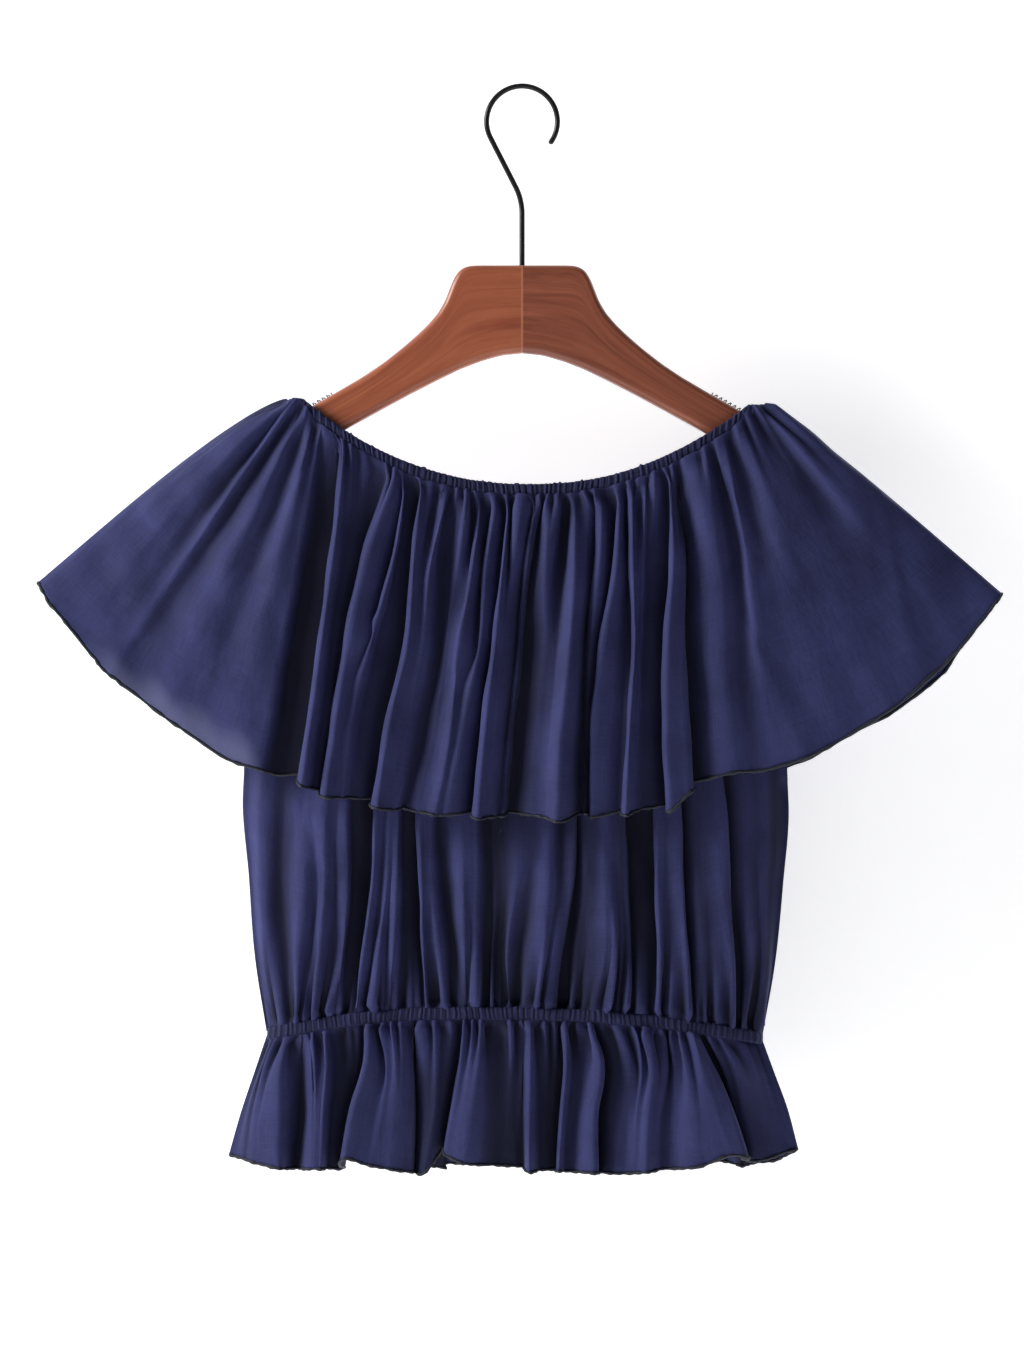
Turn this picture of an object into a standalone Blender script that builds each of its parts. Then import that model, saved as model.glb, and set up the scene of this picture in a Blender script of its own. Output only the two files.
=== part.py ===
"""Off-shoulder ruffle top with a gathered waist, hanging on a wooden hanger.

The origin is the point inside the hook that rests on a rail. X runs to the right as the front is
seen, +Y is the back of the garment and +Z is up. The hanger's middle plane is y = 0.

The tables below hold millimetres: x is measured from the hook's shank, drop is how far a point lies
below the hanging point, and depth is how far it stands in front of the hanger's middle plane, or
behind it on the back of the garment. Each row is one crest or hollow of the cloth.
"""

import math
from typing import NamedTuple

import bmesh
import bpy
import numpy as np
from mathutils import Vector

MM = 0.001
GAP = 0.0003
SEAM_SLACK = 0.0002
CLOTH = 0.0012

# Wooden hanger and its wire hook
WOOD_TOP = 0.120
WOOD_THICK = 0.016
WOOD_ROUNDING = 0.0028
ARM_END_ROUND = 0.013
SHANK_RADIUS = 0.0018
SHANK_IN_WOOD = 0.030
HOOK_RADIUS = 0.0240
HOOK_BEND_BELOW = 0.0750
HOOK_BEND_RADIUS = 0.040
HOOK_TIP_TURN = math.radians(35.0)

# Toothed grip set on each arm, under the neckline
GRIP_TEETH = 14
GRIP_PITCH = 0.0031
GRIP_TOOTH = 0.0015
GRIP_HEIGHT = 0.0024
GRIP_BASE = 0.0008
GRIP_DEEP = 0.0040
GRIP_START = 0.1265

# Elastic casing round the neckline
NECK_MIDDLE = 0.00325
NECK_HALF_WIDTH = 0.15875
NECK_HALF_DEPTH = 0.0130
NECK_SQUARENESS = 6.0
NECK_LOW_X = 0.0050
NECK_LOW_DROP = 0.2682
NECK_SHOULDER_DROPS = (0.2104, 0.2145)
NECK_SAG_ENDS = (-0.148, 0.152)
NECK_SAG_POWER = 2.2
NECK_CASING_TALL = 0.0084
NECK_CASING_TALL_AT_TURN = 0.0068
NECK_CASING_THICK = 0.0046

# Elastic casing round the waist
WAIST_MIDDLE = -0.0050
WAIST_HALF_WIDTH = 0.1660
WAIST_HALF_DEPTH = 0.0200
WAIST_SQUARENESS = 2.8
WAIST_HIGH_X = -0.0300
WAIST_HIGH_DROP = 0.6242
WAIST_END_DROPS = (0.6392, 0.6422)
WAIST_SAG_POWER = 2.35
WAIST_CASING_TALL = 0.0084
WAIST_CASING_THICK = 0.0040

# Gathers: how many crests there are round each elastic, and how deep they are
NECK_GATHERS = 72
WAIST_GATHERS = 56
CASING_RIDGE = 0.0011
GATHER_DEEP = 0.0026
GATHER_REACH = 0.030

FLOUNCE_ABOVE_CASING_EDGE = 0.0015
FLOUNCE_RISE_AT_TURN = 0.0054
WING_BOW_POWER = 0.66
SEAM_LIP = 0.0022
UNDERARM_DROP = 0.462
ARMHOLE_DEPTH = 0.0105
COLUMNS_PER_RIB = 2
FLOUNCE_LEVELS = (0.0, 0.05, 0.12, 0.22, 0.35, 0.5, 0.66, 0.83, 1.0)
BODICE_LEVELS = (0.0, 0.08, 0.3, 0.48, 0.56, 0.6, 0.68, 0.77, 0.86, 0.94, 1.0)
UNDERARM_LEVEL = 5
PEPLUM_LEVELS = (0.0, 0.1, 0.28, 0.52, 0.77, 1.0)


class EdgePoint(NamedTuple):
    """A point of the right arm's outline: how far out from the centre, and its drop."""

    out: float
    drop: float


class FlounceRib(NamedTuple):
    """A crest or hollow of the flounce, from the neckline down to its hem."""

    neck_x: float
    hem_x: float
    hem_drop: float
    hem_depth: float
    bow: float
    over_arm: float


class BodiceRib(NamedTuple):
    """A crest or hollow of the bodice: its place at bust height and at the waist elastic."""

    bust_x: float
    waist_x: float
    bust_depth: float


class PeplumRib(NamedTuple):
    """A crest or hollow of the peplum. A hollow whose hem_x passes its crest's is tucked under it."""

    waist_x: float
    hem_x: float
    hem_drop: float
    hem_depth: float


ARM_TOP = (
    EdgePoint(33.0, 120.0),
    EdgePoint(38.2, 120.8),
    EdgePoint(42.6, 123.4),
    EdgePoint(46.0, 128.6),
    EdgePoint(48.6, 135.0),
    EdgePoint(52.0, 144.0),
    EdgePoint(57.0, 152.6),
    EdgePoint(64.0, 160.6),
    EdgePoint(72.0, 168.2),
    EdgePoint(82.0, 176.8),
    EdgePoint(94.0, 186.2),
    EdgePoint(108.0, 195.6),
    EdgePoint(124.0, 205.0),
    EdgePoint(141.0, 214.7),
    EdgePoint(170.0, 231.2),
)

ARM_UNDER = (
    EdgePoint(166.0, 257.0),
    EdgePoint(140.0, 242.2),
    EdgePoint(118.0, 229.8),
    EdgePoint(96.0, 217.6),
    EdgePoint(76.0, 206.8),
    EdgePoint(58.0, 197.6),
    EdgePoint(42.0, 189.8),
    EdgePoint(28.0, 184.4),
    EdgePoint(14.0, 180.4),
)

ARCH_TOP_DROP = 179.0

LEFT_WING_FOLD = FlounceRib(-155.5, -327.8, 334.2, 0.0, 11.3, 0.0)
RIGHT_WING_FOLD = FlounceRib(162.0, 325.0, 341.7, 0.0, 6.6, 0.0)

FRONT_FLOUNCE = (
    LEFT_WING_FOLD,
    FlounceRib(-155.2, -325.0, 339.0, 4.0, 10.5, 5.0),
    FlounceRib(-154.4, -319.6, 348.5, 7.0, 8.0, 6.5),
    FlounceRib(-152.6, -304.0, 366.2, 11.0, 5.0, 5.0),
    FlounceRib(-149.5, -274.7, 400.2, 16.0, 2.0, 3.0),
    FlounceRib(-145.0, -235.3, 427.4, 20.5, 0.0, 1.5),
    FlounceRib(-140.0, -195.2, 454.6, 24.0, 0.0, 0.0),
    FlounceRib(-132.0, -154.4, 465.4, 25.0, 0.0, 0.0),
    FlounceRib(-119.0, -146.0, 468.2, 34.0, 0.0, 0.0),
    FlounceRib(-106.0, -138.0, 472.2, 28.0, 0.0, 0.0),
    FlounceRib(-92.0, -127.0, 476.3, 39.0, 0.0, 0.0),
    FlounceRib(-78.0, -104.0, 480.4, 26.0, 0.0, 0.0),
    FlounceRib(-66.0, -91.1, 483.1, 41.0, 0.0, 0.0),
    FlounceRib(-45.0, -70.0, 485.8, 30.0, 0.0, 0.0),
    FlounceRib(-34.0, -53.0, 487.9, 36.0, 0.0, 0.0),
    FlounceRib(-25.0, -38.0, 490.0, 27.5, 0.0, 0.0),
    FlounceRib(-10.0, -24.5, 491.3, 40.0, 0.0, 0.0),
    FlounceRib(8.0, 1.4, 492.0, 29.0, 0.0, 0.0),
    FlounceRib(34.0, 23.1, 493.3, 41.0, 0.0, 0.0),
    FlounceRib(45.0, 40.1, 494.0, 27.0, 0.0, 0.0),
    FlounceRib(56.0, 48.6, 494.7, 36.0, 0.0, 0.0),
    FlounceRib(68.0, 60.5, 490.0, 28.0, 0.0, 0.0),
    FlounceRib(80.0, 72.0, 490.0, 39.0, 0.0, 0.0),
    FlounceRib(94.0, 85.7, 487.9, 27.0, 0.0, 0.0),
    FlounceRib(106.0, 104.7, 481.8, 41.0, 0.0, 0.0),
    FlounceRib(116.0, 118.3, 473.6, 25.0, 0.0, 0.0),
    FlounceRib(127.0, 138.0, 466.8, 31.0, 0.0, 0.0),
    FlounceRib(136.0, 168.6, 458.6, 28.0, 0.0, 0.0),
    FlounceRib(144.0, 199.2, 449.1, 26.0, 0.0, 1.0),
    FlounceRib(151.0, 234.6, 428.7, 22.0, 0.0, 2.0),
    FlounceRib(156.0, 267.2, 407.0, 17.5, 1.0, 3.5),
    FlounceRib(159.4, 297.8, 375.7, 12.0, 3.0, 5.0),
    FlounceRib(161.1, 314.8, 355.3, 7.5, 5.0, 6.5),
    FlounceRib(161.8, 323.0, 345.1, 4.0, 6.2, 5.0),
    RIGHT_WING_FOLD,
)

BACK_FLOUNCE = (
    LEFT_WING_FOLD,
    FlounceRib(-155.2, -325.0, 339.0, 4.0, 10.5, 5.0),
    FlounceRib(-154.4, -319.6, 348.5, 7.0, 8.0, 6.5),
    FlounceRib(-152.6, -303.0, 367.0, 11.0, 5.0, 5.0),
    FlounceRib(-147.0, -268.0, 404.0, 17.0, 2.0, 3.0),
    FlounceRib(-139.0, -215.0, 441.0, 23.0, 0.0, 1.0),
    FlounceRib(-128.0, -168.0, 463.0, 26.0, 0.0, 0.0),
    FlounceRib(-112.0, -148.0, 470.0, 36.0, 0.0, 0.0),
    FlounceRib(-97.0, -126.0, 476.0, 26.0, 0.0, 0.0),
    FlounceRib(-81.0, -100.0, 482.0, 39.0, 0.0, 0.0),
    FlounceRib(-62.0, -76.0, 486.0, 27.0, 0.0, 0.0),
    FlounceRib(-44.0, -57.0, 489.0, 37.0, 0.0, 0.0),
    FlounceRib(-28.0, -38.0, 491.0, 28.0, 0.0, 0.0),
    FlounceRib(-12.0, -15.0, 493.0, 40.0, 0.0, 0.0),
    FlounceRib(6.0, 9.0, 494.0, 27.0, 0.0, 0.0),
    FlounceRib(24.0, 34.0, 494.0, 38.0, 0.0, 0.0),
    FlounceRib(42.0, 53.0, 492.0, 28.0, 0.0, 0.0),
    FlounceRib(61.0, 79.0, 489.0, 40.0, 0.0, 0.0),
    FlounceRib(80.0, 101.0, 484.0, 26.0, 0.0, 0.0),
    FlounceRib(98.0, 122.0, 477.0, 37.0, 0.0, 0.0),
    FlounceRib(114.0, 143.0, 470.0, 25.0, 0.0, 0.0),
    FlounceRib(129.0, 170.0, 461.0, 31.0, 0.0, 0.0),
    FlounceRib(142.0, 213.0, 446.0, 25.0, 0.0, 1.0),
    FlounceRib(153.0, 262.0, 417.0, 19.0, 1.0, 3.0),
    FlounceRib(159.4, 297.8, 384.0, 12.5, 3.0, 5.0),
    FlounceRib(161.1, 314.8, 359.0, 7.5, 5.0, 6.5),
    FlounceRib(161.8, 323.0, 345.1, 4.0, 6.2, 5.0),
    RIGHT_WING_FOLD,
)

FRONT_BODICE = (
    BodiceRib(-189.7, -171.0, 0.0),
    BodiceRib(-183.0, -165.0, 12.0),
    BodiceRib(-164.0, -160.0, 15.0),
    BodiceRib(-146.0, -155.0, 20.0),
    BodiceRib(-140.0, -148.0, 18.5),
    BodiceRib(-131.0, -139.0, 21.0),
    BodiceRib(-109.5, -121.0, 13.5),
    BodiceRib(-97.0, -107.0, 21.5),
    BodiceRib(-79.6, -83.0, 13.5),
    BodiceRib(-70.0, -68.0, 21.0),
    BodiceRib(-58.0, -44.0, 15.0),
    BodiceRib(-38.0, -34.0, 22.0),
    BodiceRib(-20.0, -26.0, 14.5),
    BodiceRib(0.0, -10.0, 21.0),
    BodiceRib(10.0, -3.0, 18.5),
    BodiceRib(19.0, 8.0, 22.0),
    BodiceRib(29.0, 26.0, 14.0),
    BodiceRib(56.0, 53.0, 21.0),
    BodiceRib(78.0, 84.0, 13.0),
    BodiceRib(93.0, 93.0, 21.0),
    BodiceRib(99.5, 100.0, 17.5),
    BodiceRib(106.0, 112.0, 20.5),
    BodiceRib(115.0, 119.0, 14.0),
    BodiceRib(131.0, 144.0, 20.0),
    BodiceRib(143.0, 151.0, 14.5),
    BodiceRib(163.0, 156.0, 16.0),
    BodiceRib(176.0, 158.0, 10.0),
    BodiceRib(182.0, 161.0, 0.0),
)

BACK_BODICE = (
    BodiceRib(-189.7, -171.0, 0.0),
    BodiceRib(-183.0, -165.0, 12.0),
    BodiceRib(-162.0, -155.0, 17.5),
    BodiceRib(-143.0, -138.0, 14.0),
    BodiceRib(-122.0, -120.0, 21.0),
    BodiceRib(-104.0, -101.0, 14.5),
    BodiceRib(-82.0, -84.0, 22.0),
    BodiceRib(-63.0, -66.0, 14.0),
    BodiceRib(-45.0, -46.0, 21.0),
    BodiceRib(-27.0, -24.0, 15.0),
    BodiceRib(-6.0, -8.0, 22.0),
    BodiceRib(12.0, 14.0, 14.0),
    BodiceRib(33.0, 31.0, 21.5),
    BodiceRib(52.0, 48.0, 14.5),
    BodiceRib(73.0, 69.0, 22.0),
    BodiceRib(91.0, 88.0, 14.0),
    BodiceRib(112.0, 105.0, 21.0),
    BodiceRib(131.0, 124.0, 14.5),
    BodiceRib(152.0, 142.0, 17.5),
    BodiceRib(176.0, 156.0, 11.0),
    BodiceRib(182.0, 161.0, 0.0),
)

FRONT_PEPLUM = (
    PeplumRib(-171.0, -198.6, 721.8, 0.0),
    PeplumRib(-168.0, -190.0, 723.0, 9.0),
    PeplumRib(-158.0, -168.0, 726.5, 22.0),
    PeplumRib(-148.0, -153.0, 728.6, 15.0),
    PeplumRib(-137.0, -138.0, 728.6, 25.0),
    PeplumRib(-121.0, -118.0, 727.0, 17.0),
    PeplumRib(-111.0, -122.0, 720.0, 28.0),
    PeplumRib(-88.0, -95.0, 724.5, 32.0),
    PeplumRib(-67.0, -70.0, 726.5, 16.0),
    PeplumRib(-56.0, -64.0, 721.0, 24.0),
    PeplumRib(-46.0, -56.0, 720.0, 17.0),
    PeplumRib(-27.0, -36.0, 723.0, 30.0),
    PeplumRib(-15.0, -14.0, 725.0, 22.0),
    PeplumRib(6.0, 6.0, 728.0, 31.0),
    PeplumRib(22.0, 17.7, 728.6, 18.0),
    PeplumRib(31.0, 26.0, 728.6, 27.0),
    PeplumRib(39.0, 33.0, 728.6, 21.0),
    PeplumRib(47.0, 45.0, 728.6, 30.0),
    PeplumRib(66.0, 56.0, 730.6, 15.0),
    PeplumRib(90.0, 83.6, 730.0, 30.0),
    PeplumRib(101.0, 97.0, 728.6, 24.0),
    PeplumRib(116.0, 124.4, 725.0, 34.0),
    PeplumRib(124.0, 148.0, 714.0, 30.0),
    PeplumRib(131.0, 137.0, 720.0, 15.0),
    PeplumRib(152.0, 160.0, 724.0, 13.0),
    PeplumRib(159.0, 184.0, 719.0, 6.0),
    PeplumRib(161.0, 187.0, 717.7, 0.0),
)

BACK_PEPLUM = (
    PeplumRib(-171.0, -198.6, 721.8, 0.0),
    PeplumRib(-167.0, -190.0, 724.0, 9.0),
    PeplumRib(-152.0, -164.0, 729.0, 23.0),
    PeplumRib(-136.0, -142.0, 731.0, 15.0),
    PeplumRib(-118.0, -119.0, 731.5, 29.0),
    PeplumRib(-100.0, -98.0, 732.0, 16.0),
    PeplumRib(-82.0, -76.0, 732.5, 31.0),
    PeplumRib(-62.0, -57.0, 732.5, 17.0),
    PeplumRib(-43.0, -38.0, 732.5, 30.0),
    PeplumRib(-24.0, -20.0, 732.0, 16.0),
    PeplumRib(-5.0, -1.0, 731.0, 31.0),
    PeplumRib(14.0, 20.0, 730.0, 17.0),
    PeplumRib(33.0, 41.0, 729.5, 29.0),
    PeplumRib(53.0, 61.0, 729.5, 16.0),
    PeplumRib(72.0, 82.0, 729.0, 31.0),
    PeplumRib(91.0, 103.0, 728.0, 17.0),
    PeplumRib(110.0, 124.0, 727.0, 28.0),
    PeplumRib(128.0, 146.0, 725.0, 15.0),
    PeplumRib(145.0, 166.0, 723.0, 21.0),
    PeplumRib(158.0, 182.0, 719.5, 8.0),
    PeplumRib(161.0, 187.0, 717.7, 0.0),
)


def clear_scene():
    for obj in list(bpy.data.objects):
        bpy.data.objects.remove(obj)


def collection(name):
    made = bpy.data.collections.new(name)
    bpy.context.scene.collection.children.link(made)
    return made


def material(name, colour, roughness, metallic=0.0):
    made = bpy.data.materials.new(name)
    made.use_nodes = True
    shader = made.node_tree.nodes["Principled BSDF"]
    shader.inputs["Base Color"].default_value = (*colour, 1.0)
    shader.inputs["Roughness"].default_value = roughness
    shader.inputs["Metallic"].default_value = metallic
    return made


def smooth_step(value, low, high):
    """0 below low, 1 above high and an S-curve between them."""
    t = np.clip((value - low) / (high - low), 0.0, 1.0)
    return t * t * (3.0 - 2.0 * t)


def across(ribs, name):
    """One named column of a table in metres, run through its ribs as a smooth Catmull-Rom curve."""
    values = np.array([getattr(rib, name) for rib in ribs]) * MM
    last = len(ribs) - 1
    place = np.linspace(0.0, last, COLUMNS_PER_RIB * last + 1)
    index = np.minimum(place.astype(int), last - 1)
    t = place - index
    before, here = values[np.maximum(index - 1, 0)], values[index]
    after, beyond = values[index + 1], values[np.minimum(index + 2, last)]
    return 0.5 * (
        2.0 * here
        + (after - before) * t
        + (2.0 * before - 5.0 * here + 4.0 * after - beyond) * t**2
        + (3.0 * (here - after) + beyond - before) * t**3
    )


class Ring(NamedTuple):
    """An elastic: a flattened ring in plan whose height changes with x."""

    middle: float
    half_width: float
    half_depth: float
    squareness: float

    def depth(self, x):
        """How far the ring stands out from y = 0 at x: a superellipse in plan."""
        share = np.clip(np.abs(x - self.middle) / self.half_width, 0.0, 1.0)
        return self.half_depth * (1.0 - share**self.squareness) ** (1.0 / self.squareness)

    def outside(self, x, distance):
        """The ring's points at x, moved outwards by distance: x and how far from y = 0."""
        depth = self.depth(x)
        power = self.squareness - 1.0
        slope_x = (np.abs(x - self.middle) / self.half_width) ** power / self.half_width
        slope_y = (depth / self.half_depth) ** power / self.half_depth
        length = np.hypot(slope_x, slope_y)
        moved = x + np.sign(x - self.middle) * distance * slope_x / length
        return moved, depth + distance * slope_y / length

    def around(self, count):
        """count points in plan, evenly spaced, from the left end along the front and back again."""
        turn = np.linspace(0.0, 2.0 * math.pi, 4001)
        power = 2.0 / self.squareness
        x = self.middle - self.half_width * np.sign(np.cos(turn)) * np.abs(np.cos(turn)) ** power
        y = -self.half_depth * np.sign(np.sin(turn)) * np.abs(np.sin(turn)) ** power
        walked = np.concatenate([[0.0], np.cumsum(np.hypot(np.diff(x), np.diff(y)))])
        at = np.arange(count) / count * walked[-1]
        return np.interp(at, walked, x), np.interp(at, walked, y)


NECK = Ring(NECK_MIDDLE, NECK_HALF_WIDTH, NECK_HALF_DEPTH, NECK_SQUARENESS)
WAIST = Ring(WAIST_MIDDLE, WAIST_HALF_WIDTH, WAIST_HALF_DEPTH, WAIST_SQUARENESS)


def neck_top_drop(x):
    """Drop of the casing's top edge: level on each shoulder, sagging to its lowest in the middle."""
    left, right = NECK_SAG_ENDS
    span = np.where(x < NECK_LOW_X, NECK_LOW_X - left, right - NECK_LOW_X)
    share = np.clip(np.abs(x - NECK_LOW_X) / span, 0.0, 1.0)
    shoulder = np.where(x < NECK_LOW_X, *NECK_SHOULDER_DROPS)
    return NECK_LOW_DROP + (shoulder - NECK_LOW_DROP) * share**NECK_SAG_POWER


def neck_turn(x):
    """0 along the front and back of the neckline, 1 where it turns over an arm of the hanger."""
    return smooth_step(np.abs(x - NECK_MIDDLE), 0.140, 0.154)


def neck_casing_tall(x):
    return NECK_CASING_TALL + (NECK_CASING_TALL_AT_TURN - NECK_CASING_TALL) * neck_turn(x)


def neck_bottom_drop(x):
    return neck_top_drop(x) + neck_casing_tall(x)


def waist_middle_drop(x):
    """Drop of the waist casing's middle: highest near the centre, lower at both sides."""
    left, right = WAIST_MIDDLE - WAIST_HALF_WIDTH, WAIST_MIDDLE + WAIST_HALF_WIDTH
    span = np.where(x < WAIST_HIGH_X, WAIST_HIGH_X - left, right - WAIST_HIGH_X)
    share = np.clip(np.abs(x - WAIST_HIGH_X) / span, 0.0, 1.0)
    end = np.where(x < WAIST_HIGH_X, *WAIST_END_DROPS)
    return WAIST_HIGH_DROP + (end - WAIST_HIGH_DROP) * share**WAIST_SAG_POWER


def uneven(index, seed):
    """A number from 0.55 to 1 for each gather, so that no two neighbours are alike."""
    return 0.775 + 0.225 * np.sin(index * 2.399 + seed * 1.7)


def gathers(columns, distance, seed):
    """Height of the fine gathers: every second column is a crest, fading away from the elastic."""
    index = np.arange(columns)
    crest = (index % 2) * uneven(index, seed)
    crest[[0, 1, -2, -1]] = 0.0
    return GATHER_DEEP * crest[None, :] * np.exp(-distance / GATHER_REACH)


def panel(name, x, depth, drop, side, fabric):
    """A cloth wall over a grid of points. Its rows run down, its columns run from left to right."""
    y = -depth if side == "front" else depth
    points = np.stack([x, y, -drop], axis=-1)[::-1]
    if side == "back":
        points = points[:, ::-1]
    rows, columns = points.shape[:2]
    mesh = bmesh.new()
    bmesh.ops.create_grid(mesh, x_segments=columns - 1, y_segments=rows - 1, size=1.0)
    for vertex, point in zip(mesh.verts, points.reshape(-1, 3)):
        vertex.co = point
    wall = add_mesh(name, mesh, fabric)
    solid = wall.modifiers.new("Cloth thickness", "SOLIDIFY")
    solid.thickness = CLOTH
    solid.offset = -1.0
    return wall


def add_mesh(name, mesh, finish):
    data = bpy.data.meshes.new(name)
    mesh.to_mesh(data)
    mesh.free()
    data.materials.append(finish)
    data.shade_smooth()
    obj = bpy.data.objects.new(name, data)
    PIECES.objects.link(obj)
    return obj


def seam_edges(x, drop, depth, edge_depth):
    """The wall turns square to the seam plane along both side edges, so that rims meet flat."""
    for edge, beside in ((0, 1), (-1, -2)):
        x[:, beside] = x[:, edge]
        drop[:, beside] = drop[:, edge]
        depth[:, edge] = edge_depth
        depth[:, beside] = edge_depth + SEAM_LIP


def flounce(name, ribs, side, fabric):
    """The flounce falls from the neck elastic. The ribs of each wing arch over the hanger's arm."""
    level = np.array(FLOUNCE_LEVELS)[:, None]
    neck_x, hem_x, hem_depth = (across(ribs, name) for name in ("neck_x", "hem_x", "hem_depth"))
    start_x, start_depth = NECK.outside(
        neck_x, NECK_CASING_THICK / 2 + CASING_RIDGE + GAP + CLOTH
    )
    rise = FLOUNCE_ABOVE_CASING_EDGE + FLOUNCE_RISE_AT_TURN * neck_turn(neck_x)
    start_drop = neck_bottom_drop(neck_x) - rise
    x = start_x + (hem_x - start_x) * level
    drop = start_drop + (across(ribs, "hem_drop") - start_drop) * level
    drop = drop - across(ribs, "bow") * np.sin(math.pi * level**WING_BOW_POWER)
    fullness = 0.8 - 0.35 * smooth_step(hem_depth, 0.028, 0.036)
    depth = start_depth + (hem_depth - start_depth) * level**fullness
    depth = depth + across(ribs, "over_arm") * np.sin(math.pi * np.minimum(level * 1.6, 1.0))
    fall = np.hypot(x - x[0], drop - drop[0])
    depth = depth + gathers(depth.shape[1], fall, 1.0 if side == "front" else 2.0)
    seam_edges(x, drop, depth, GAP / 2)
    panel(name, x, depth, drop, side, fabric)


def bodice(name, ribs, side, fabric):
    """The bodice runs from the neck elastic past the armholes to the waist elastic."""
    level = np.array(BODICE_LEVELS)[:, None]
    underarm = BODICE_LEVELS[UNDERARM_LEVEL]
    bust_x, waist_x = across(ribs, "bust_x"), across(ribs, "waist_x")
    neck_x = np.clip(bust_x * 0.80, -0.150, 0.152)
    neck_drop = neck_bottom_drop(neck_x) + GAP + SEAM_SLACK
    waist_drop = waist_middle_drop(waist_x) - WAIST_CASING_TALL / 2 - GAP
    above = np.minimum(level / underarm, 1.0)
    below = np.maximum((level - underarm) / (1.0 - underarm), 0.0)
    x = neck_x + (bust_x - neck_x) * above**0.85 + (waist_x - bust_x) * below**1.15
    drop = neck_drop + (UNDERARM_DROP - neck_drop) * above + (waist_drop - UNDERARM_DROP) * below
    neck_depth = NECK.depth(neck_x) + CLOTH / 2
    waist_depth = WAIST.depth(waist_x) + CLOTH / 2
    bust_depth = across(ribs, "bust_depth")
    depth = neck_depth + (bust_depth - neck_depth) * above + (waist_depth - bust_depth) * below**3
    depth = depth + gathers(depth.shape[1], drop[-1] - drop, 3.0 if side == "front" else 4.0)
    armhole = ARMHOLE_DEPTH * np.sqrt(np.clip(1.0 - above[:, 0] ** 6, 0.0, 1.0))
    seam_edges(x, drop, depth, np.maximum(armhole, GAP / 2))
    panel(name, x, depth, drop, side, fabric)


def peplum(name, ribs, side, fabric):
    """The peplum flares from the waist elastic to its wavy hem."""
    level = np.array(PEPLUM_LEVELS)[:, None]
    waist_x, hem_x = across(ribs, "waist_x"), across(ribs, "hem_x")
    waist_drop = waist_middle_drop(waist_x) + WAIST_CASING_TALL / 2 + GAP
    waist_depth = WAIST.depth(waist_x) + CLOTH / 2
    x = waist_x + (hem_x - waist_x) * level
    drop = waist_drop + (across(ribs, "hem_drop") - waist_drop) * level
    depth = waist_depth + (across(ribs, "hem_depth") - waist_depth) * level**0.7
    depth = depth + gathers(depth.shape[1], drop - drop[0], 5.0 if side == "front" else 6.0)
    seam_edges(x, drop, depth, GAP / 2)
    panel(name, x, depth, drop, side, fabric)


def casing(name, ring, gather_count, thick, tall, middle_drop, fabric):
    """A gathered tube of cloth round its elastic: a closed band with a ridge at every gather."""
    x, y = ring.around(2 * gather_count)
    ahead = np.stack([np.roll(x, -1) - np.roll(x, 1), np.roll(y, -1) - np.roll(y, 1)], axis=-1)
    ahead /= np.linalg.norm(ahead, axis=-1, keepdims=True)
    out_x, out_y = ahead[:, 1], -ahead[:, 0]
    flip = np.where(out_x * (x - ring.middle) + out_y * y < 0.0, -1.0, 1.0)
    out_x, out_y = out_x * flip, out_y * flip
    index = np.arange(2 * gather_count)
    ridge = CASING_RIDGE * (index % 2) * uneven(index, 0.5)
    half, half_tall = thick / 2, tall(x) / 2
    section = (
        (half * 0.3 + ridge * 0.4, 1.0),
        (half + ridge, 0.45),
        (half + ridge, -0.45),
        (half * 0.3 + ridge * 0.4, -1.0),
        (-half, -0.62),
        (-half, 0.62),
    )
    loops = [
        np.stack([x + out_x * out, y + out_y * out, -middle_drop(x) + half_tall * up], axis=-1)
        for out, up in section
    ]
    points = np.stack(loops + loops[:1], axis=0)
    points = np.concatenate([points, points[:, :1]], axis=1)
    rows, columns = points.shape[:2]
    mesh = bmesh.new()
    bmesh.ops.create_grid(mesh, x_segments=columns - 1, y_segments=rows - 1, size=1.0)
    for vertex, point in zip(mesh.verts, points.reshape(-1, 3)):
        vertex.co = point
    bmesh.ops.remove_doubles(mesh, verts=mesh.verts, dist=1e-6)
    bmesh.ops.recalc_face_normals(mesh, faces=mesh.faces)
    return add_mesh(name, mesh, fabric)


def arm_top_drop(x):
    """Drop of an arm's top edge at a distance from the centre."""
    return MM * np.interp(x / MM, [point.out for point in ARM_TOP], [point.drop for point in ARM_TOP])


def hanger_outline():
    """The outline of the right half: neck block, swept arm, round end and arched underside."""
    top = [(point.out * MM, -point.drop * MM) for point in ARM_TOP]
    under = [(point.out * MM, -point.drop * MM) for point in ARM_UNDER]
    above, below = Vector(top[-1]), Vector(under[0])
    middle, up = (above + below) / 2, (above - below) / 2
    outwards = Vector((up.y, -up.x)).normalized() * ARM_END_ROUND
    end = [
        tuple(middle + up * math.cos(turn) + outwards * math.sin(turn))
        for turn in np.linspace(0.0, math.pi, 9)[1:-1]
    ]
    return [(GAP / 2, -WOOD_TOP)] + top + end + under + [(GAP / 2, -ARCH_TOP_DROP * MM)]


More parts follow.
